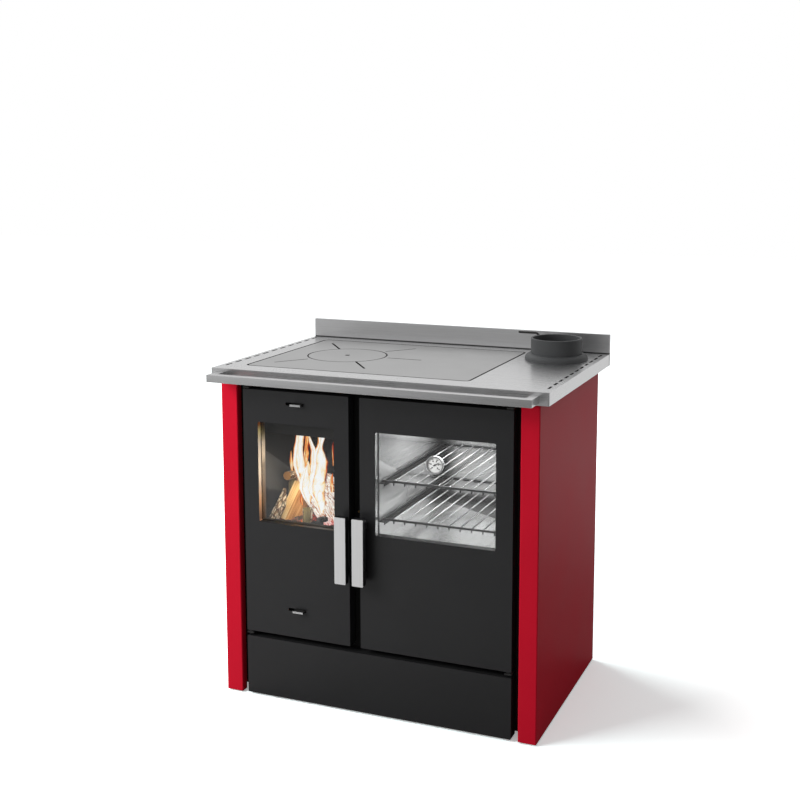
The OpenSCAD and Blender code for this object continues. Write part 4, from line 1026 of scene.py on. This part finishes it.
class STOVE_OT_doors(Operator):
    """Paints the doors, brightens their window reveals and fits glass, clips and seals"""

    bl_idname = "stove.doors"
    bl_label = "Doors"

    def execute(self, context):
        iron = cast_iron("door_frame", tint(38, 38, 38), 0.55)
        # The fire door's reveals take the painted reflection of the fire, and the inner frame's
        # reveals take a shaded copy of it.
        for door, bare, shadowed in (("fire", fire_reflection(), fire_reflection("dark")),
                                  ("oven", bright_reveal(), None)):
            skin, inner = door + "_door_skin", door + "_door_frame"
            softened(skin, "black_paint", door_paint(), bare, reveal_of(skin))
            softened(inner, "cast_iron", iron, shadowed, reveal_of(inner), radius=0.0006)
            coat(window_glass(), door + "_door_glass")
            coat(galvanised(), door + "_glass_clips", door + "_latch")
            coat(rope_seal(), door + "_door_seal")
        return {"FINISHED"}


class STOVE_OT_handles(Operator):
    """Finishes the steel facings and black grips of both door handles"""

    bl_idname = "stove.handles"
    bl_label = "Handles"

    def execute(self, context):
        satin = steel("handle", 0.42, 0.55, grey(0.78), lines=2, metal=0.35)
        for door in ("fire", "oven"):
            softened(door + "_handle_facing", "stainless", satin, radius=0.0007)
            softened(door + "_handle_grip", "black_grip", grip_plastic(), radius=0.0008)
        return {"FINISHED"}


class STOVE_OT_air_controls(Operator):
    """Finishes the two sliding air regulators"""

    bl_idname = "stove.air_controls"
    bl_label = "Air regulators"

    def execute(self, context):
        for level in ("upper", "lower"):
            coat(black_steel(), level + "_air_shutter")
            softened(level + "_air_tip", "stainless", steel("tip", high=0.3), radius=0.0005)
        return {"FINISHED"}


def print_numbers():
    """Joins six generic numbers and their dots into one thin piece."""
    middle, radius = dial()
    middle.y -= 0.0002
    bm = bmesh.new()
    for index in range(6):
        angle = radians(-135 + 54 * index)
        out = Vector((sin(angle), 0, cos(angle))) * radius
        words = bpy.data.curves.new("number", "FONT")
        words.body, words.size, words.offset = str(50 * (index + 1)), 0.0036, 0.0001
        words.align_x = words.align_y = "CENTER"
        carrier = add("number", words)
        bpy.context.view_layer.update()
        flat = bpy.data.meshes.new_from_object(carrier)
        flat.transform(Matrix.Translation(middle + out * 0.73) @ LAID_FLAT)
        bm.from_mesh(flat)
        bpy.data.objects.remove(carrier)
        bpy.data.meshes.remove(flat)
        dot = bmesh.ops.create_circle(bm, cap_ends=True, radius=radius * 0.085, segments=12)
        bmesh.ops.transform(bm, verts=dot["verts"],
                            matrix=Matrix.Translation(middle + out * 0.51) @ LAID_FLAT)
    publish(bm, "dial_numbers", "needle_black", "oven_door", printed_ink())


class STOVE_OT_thermometer(Operator):
    """Finishes the oven thermometer and prints plain numbers on its dial"""

    bl_idname = "stove.thermometer"
    bl_label = "Thermometer"

    def execute(self, context):
        coat(dial_face(), "thermometer_dial")
        coat(steel("case", 0.4, 0.52, scaled(colours().steel, 0.8)), "thermometer_case")
        coat(printed_ink(), "thermometer_needle")
        print_numbers()
        return {"FINISHED"}


class STOVE_OT_oven(Operator):
    """Brightens the oven and its racks, and lights it softly"""

    bl_idname = "stove.oven"
    bl_label = "Oven"

    def execute(self, context):
        coat(oven_steel(), "oven_cavity")
        coat(sooted_steel(), "rack_guides")
        for rack in ("oven_rack_lower", "oven_rack_upper"):
            coat(rack_steel(rack), rack)
        low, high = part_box("oven_cavity")
        hang("oven_light", "AREA", ((low.x + high.x) / 2, low.y + 0.2, high.z - 0.012),
             context.scene.stove_stage.oven_lamp, glossy=True,
             shape="RECTANGLE", size=0.26, size_y=0.1)
        return {"FINISHED"}


class STOVE_OT_firebox(Operator):
    """Finishes the firebox, its slabs, the grate and the ash pan, and lights it from the fire"""

    bl_idname = "stove.firebox"
    bl_label = "Firebox"

    def execute(self, context):
        coat(black_steel(), "firebox_shell")
        for side in ("left", "right", "back"):
            coat(fire_slab(side), "lining_" + side)
        coat(cast_iron("grate", tint(46, 44, 43), 0.62), "fire_grate")
        coat(galvanised(), "ash_pan")
        stage, warm = context.scene.stove_stage, colours().flame
        hang("fire_light", "POINT", (-0.245, -0.195, 0.6), stage.fire_lamp, color=warm,
             shadow_soft_size=0.03)
        for name, place, aim, watts, cone, blend in (
                ("hearth", (-0.2, -0.205, 0.69), (-0.29, -0.165, 0.49), stage.hearth_lamp, 42, 0.7),
                ("reveal", (-0.12, -0.2, 0.6), (-0.32, -0.25, 0.6), stage.reveal_lamp, 62, 1.0)):
            hang(name + "_light", "SPOT", place, watts, aim, color=warm, shadow_soft_size=0.01,
                 spot_size=radians(cone), spot_blend=blend)
        return {"FINISHED"}


def lay_charcoal():
    """Broken charcoal at the front of the grate."""
    bm = bmesh.new()
    for index, (x, y, z, size, turn) in enumerate(LUMPS):
        lump = bmesh.ops.create_icosphere(bm, subdivisions=3, radius=size * 0.5)["verts"]
        bmesh.ops.transform(bm, verts=lump, matrix=Matrix.Diagonal((1.7, 0.75, 0.7, 1)))
        for v in lump:
            v.co *= 1 + 0.35 * noise.noise(v.co * 110 + Vector((index * 5.1, 0, 0)))
            v.co.x = max(min(v.co.x, size * 0.62), -size * 0.62)
            v.co.z = max(min(v.co.z, size * 0.3), -size * 0.3)
        tilt = radians(14 * (index % 3 - 1))
        bmesh.ops.transform(bm, verts=lump, matrix=Matrix.Translation((x, y, z))
                            @ Matrix.Rotation(radians(turn), 4, "Z")
                            @ Matrix.Rotation(tilt, 4, "Y"))
    publish(bm, "charcoal_lumps", "firewood", "stove", charcoal(), turn=25)


def lay_embers():
    """A low heap over the grate and the floor beside it."""
    low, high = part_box("fire_grate")
    bm = bmesh.new()
    bmesh.ops.create_grid(bm, x_segments=56, y_segments=80, size=1)
    rim = [e for e in bm.edges if e.is_boundary]
    skirt = bmesh.ops.extrude_edge_only(bm, edges=rim)["geom"]
    below = {g for g in skirt if isinstance(g, bmesh.types.BMVert)}
    near = 0.003
    for v in bm.verts:
        across, along = v.co.x, v.co.y
        x, y = -0.213 + across * 0.108, -0.03 + along * 0.168
        inside = low.x - near < x < high.x + near and low.y - near < y < high.y + near
        ground = high.z + 0.0004 if inside else low.z + 0.0104
        crown = max(0.0, (1 - across ** 4) * (1 - along ** 4))
        spot = Vector((x, y, 0))
        rough = 0.012 * noise.noise(spot * 42) + 0.005 * noise.noise(spot * 130)
        heap = 0.003 + crown * (0.012 + rough)
        v.co = Vector((x, y, ground if v in below else max(ground + 0.0006, 0.4504 + heap)))
    bmesh.ops.holes_fill(bm, edges=[e for e in bm.edges if e.is_boundary], sides=0)
    bmesh.ops.recalc_face_normals(bm, faces=bm.faces)
    publish(bm, "ember_heap", "firewood", "stove", ember_bed(), turn=60)


class STOVE_OT_firewood(Operator):
    """Lays the split logs, the burning logs, charcoal and the bed of embers"""

    bl_idname = "stove.firewood"
    bl_label = "Firewood"

    def execute(self, context):
        cold = (bark(), split_wood("pale"), log_end(), split_wood("heart"), split_wood("old"))
        for name, (foot, top, share, seed, *cuts) in LOGS.items():
            materials = (bark("burning"),) if name.startswith("burning") else cold
            log("log_" + name, foot, top, sizes().log_radius * share, seed, cuts, materials)
        lay_charcoal()
        lay_embers()
        return {"FINISHED"}


class STOVE_OT_flames(Operator):
    """Raises the tongues of flame over the burning logs"""

    bl_idname = "stove.flames"
    bl_label = "Flames"

    def execute(self, context):
        for kind, group in (("white", WHITE), ("orange", ORANGE + HALO), ("red", RED)):
            bm = bmesh.new()
            for points in group:
                points = [tuple(value * MM for value in point) for point in points]
                for deep in (False, True):
                    tongue(bm, points, deep)
            piece = publish(bm, "flames_" + kind, "flames", "stove", flame(kind), turn=180)
            piece.visible_shadow = False
        return {"FINISHED"}


class STOVE_OT_drawer(Operator):
    """Paints the drawer front and coats its box and slides"""

    bl_idname = "stove.drawer"
    bl_label = "Drawer"

    def execute(self, context):
        softened("drawer_front", "black_paint", door_paint())
        coat(galvanised(), "drawer_box", "drawer_slides")
        return {"FINISHED"}


def lay_floor():
    """A pale floor that turns white away from the stove and keeps its shadow."""
    bm = bmesh.new()
    bmesh.ops.create_grid(bm, x_segments=4, y_segments=4, size=14)
    mesh = bpy.data.meshes.new("floor")
    bm.to_mesh(mesh)
    bm.free()
    f = Finish("pale_floor")
    x, y, _ = f.axes(f.place())
    away = f.band(f.far(x, y), 1.3, 2.6)
    seen = f.ray("Camera")
    behind = f.band(y, 0.5, 2.4) * 0.6
    ahead = f.fade(y, -4.2, -2.4) * f.fade(x, -3.6, -0.6) * 0.6
    shown = f.mix(f.band(x, 0.45, 1.0), (1.27, 1.46, 1.46), grey(1.43))
    matt = f.node("BsdfDiffuse", {"Color": f.mix(seen, grey(0.34), shown)})
    strength = seen * (0.32 + away * 0.68) + f.ray("Glossy") * (behind + ahead)
    white = f.node("Emission", {"Color": f.flat(strength), "Strength": 1.0})
    f.end(f.node("AddShader", {0: matt, 1: white}))
    mesh.materials.append(f.material)
    add("floor", mesh)


def set_sky(scene):
    """White for the camera, a soft studio for metal and paint."""
    world = bpy.data.worlds.new("studio")
    world.use_nodes = True
    scene.world = world
    g = Graph(world.node_tree)
    _, y, z = g.axes(g.node("TexCoord", outlet="Generated"))
    seen = g.ray("Camera") + g.ray("Transmission")
    gloss = g.ray("Glossy")
    ahead = 0.65 + 0.35 * g.band(y, -0.6, 0.5)
    mirror = (0.62 + 0.38 * g.band(z, 0.0, 0.7)) * ahead
    level = mirror * gloss + 0.3 * (1.0 - gloss)
    shade = g.mix(seen.clamp(), g.flat(level), grey(1.0))
    g.end(g.node("Background", {"Color": shade, "Strength": 1.0}), "World")


class STOVE_OT_stage(Operator):
    """Lays the floor, lights the stage and sets the camera"""

    bl_idname = "stove.stage"
    bl_label = "Stage"

    def execute(self, context):
        stage = context.scene.stove_stage
        context.scene.view_settings.view_transform = "Standard"
        lay_floor()
        set_sky(context.scene)
        hang("rear_lamp", "AREA", (-1.7, 0.9, 2.9), stage.rear, (0.3, 0.2, 0.0),
             shape="RECTANGLE", size=1.6, size_y=1.6)
        hang("front_lamp", "AREA", (-1.75, -1.85, 1.7), stage.front, (0.1, -0.2, 0.4),
             shape="RECTANGLE", size=1.45, size_y=1.45)
        camera = bpy.data.cameras.new("camera")
        camera.sensor_width = 36
        camera.lens = stage.lens
        camera.shift_x, camera.shift_y = -0.0250, -0.10
        holder = add("camera", camera)
        holder.location = stage.camera_place
        holder.rotation_euler = stage.camera_turn
        context.scene.camera = holder
        return {"FINISHED"}


STEPS = (
    STOVE_OT_stage, STOVE_OT_side_panels, STOVE_OT_worktop, STOVE_OT_hob, STOVE_OT_flue,
    STOVE_OT_carcass, STOVE_OT_doors, STOVE_OT_handles, STOVE_OT_air_controls,
    STOVE_OT_thermometer, STOVE_OT_oven, STOVE_OT_firebox, STOVE_OT_firewood, STOVE_OT_flames,
    STOVE_OT_drawer,
)


class VIEW3D_PT_stove(Panel):
    """Lists the stove's settings and steps in the sidebar"""

    bl_label = "Cook stove"
    bl_space_type = "VIEW_3D"
    bl_region_type = "UI"
    bl_category = "Stove"

    def draw(self, context):
        for name in SETTINGS:
            group, box = getattr(context.scene, name), self.layout.box()
            for prop in group.bl_rna.properties.keys():
                if prop not in {"rna_type", "name"}:
                    box.prop(group, prop)
        for step in STEPS:
            self.layout.operator(step.bl_idname)


CLASSES = (*SETTINGS.values(), *STEPS, VIEW3D_PT_stove)


def register():
    """Registers the add-on's classes and settings."""
    for kind in CLASSES:
        bpy.utils.register_class(kind)
    for name, kind in SETTINGS.items():
        setattr(bpy.types.Scene, name, PointerProperty(type=kind))


def unregister():
    """Takes them out again."""
    for name in SETTINGS:
        delattr(bpy.types.Scene, name)
    for kind in reversed(CLASSES):
        bpy.utils.unregister_class(kind)


def main():
    """Runs every step."""
    register()
    for step in STEPS:
        group, name = step.bl_idname.split(".")
        getattr(getattr(bpy.ops, group), name)()


if __name__ == "__main__":
    main()
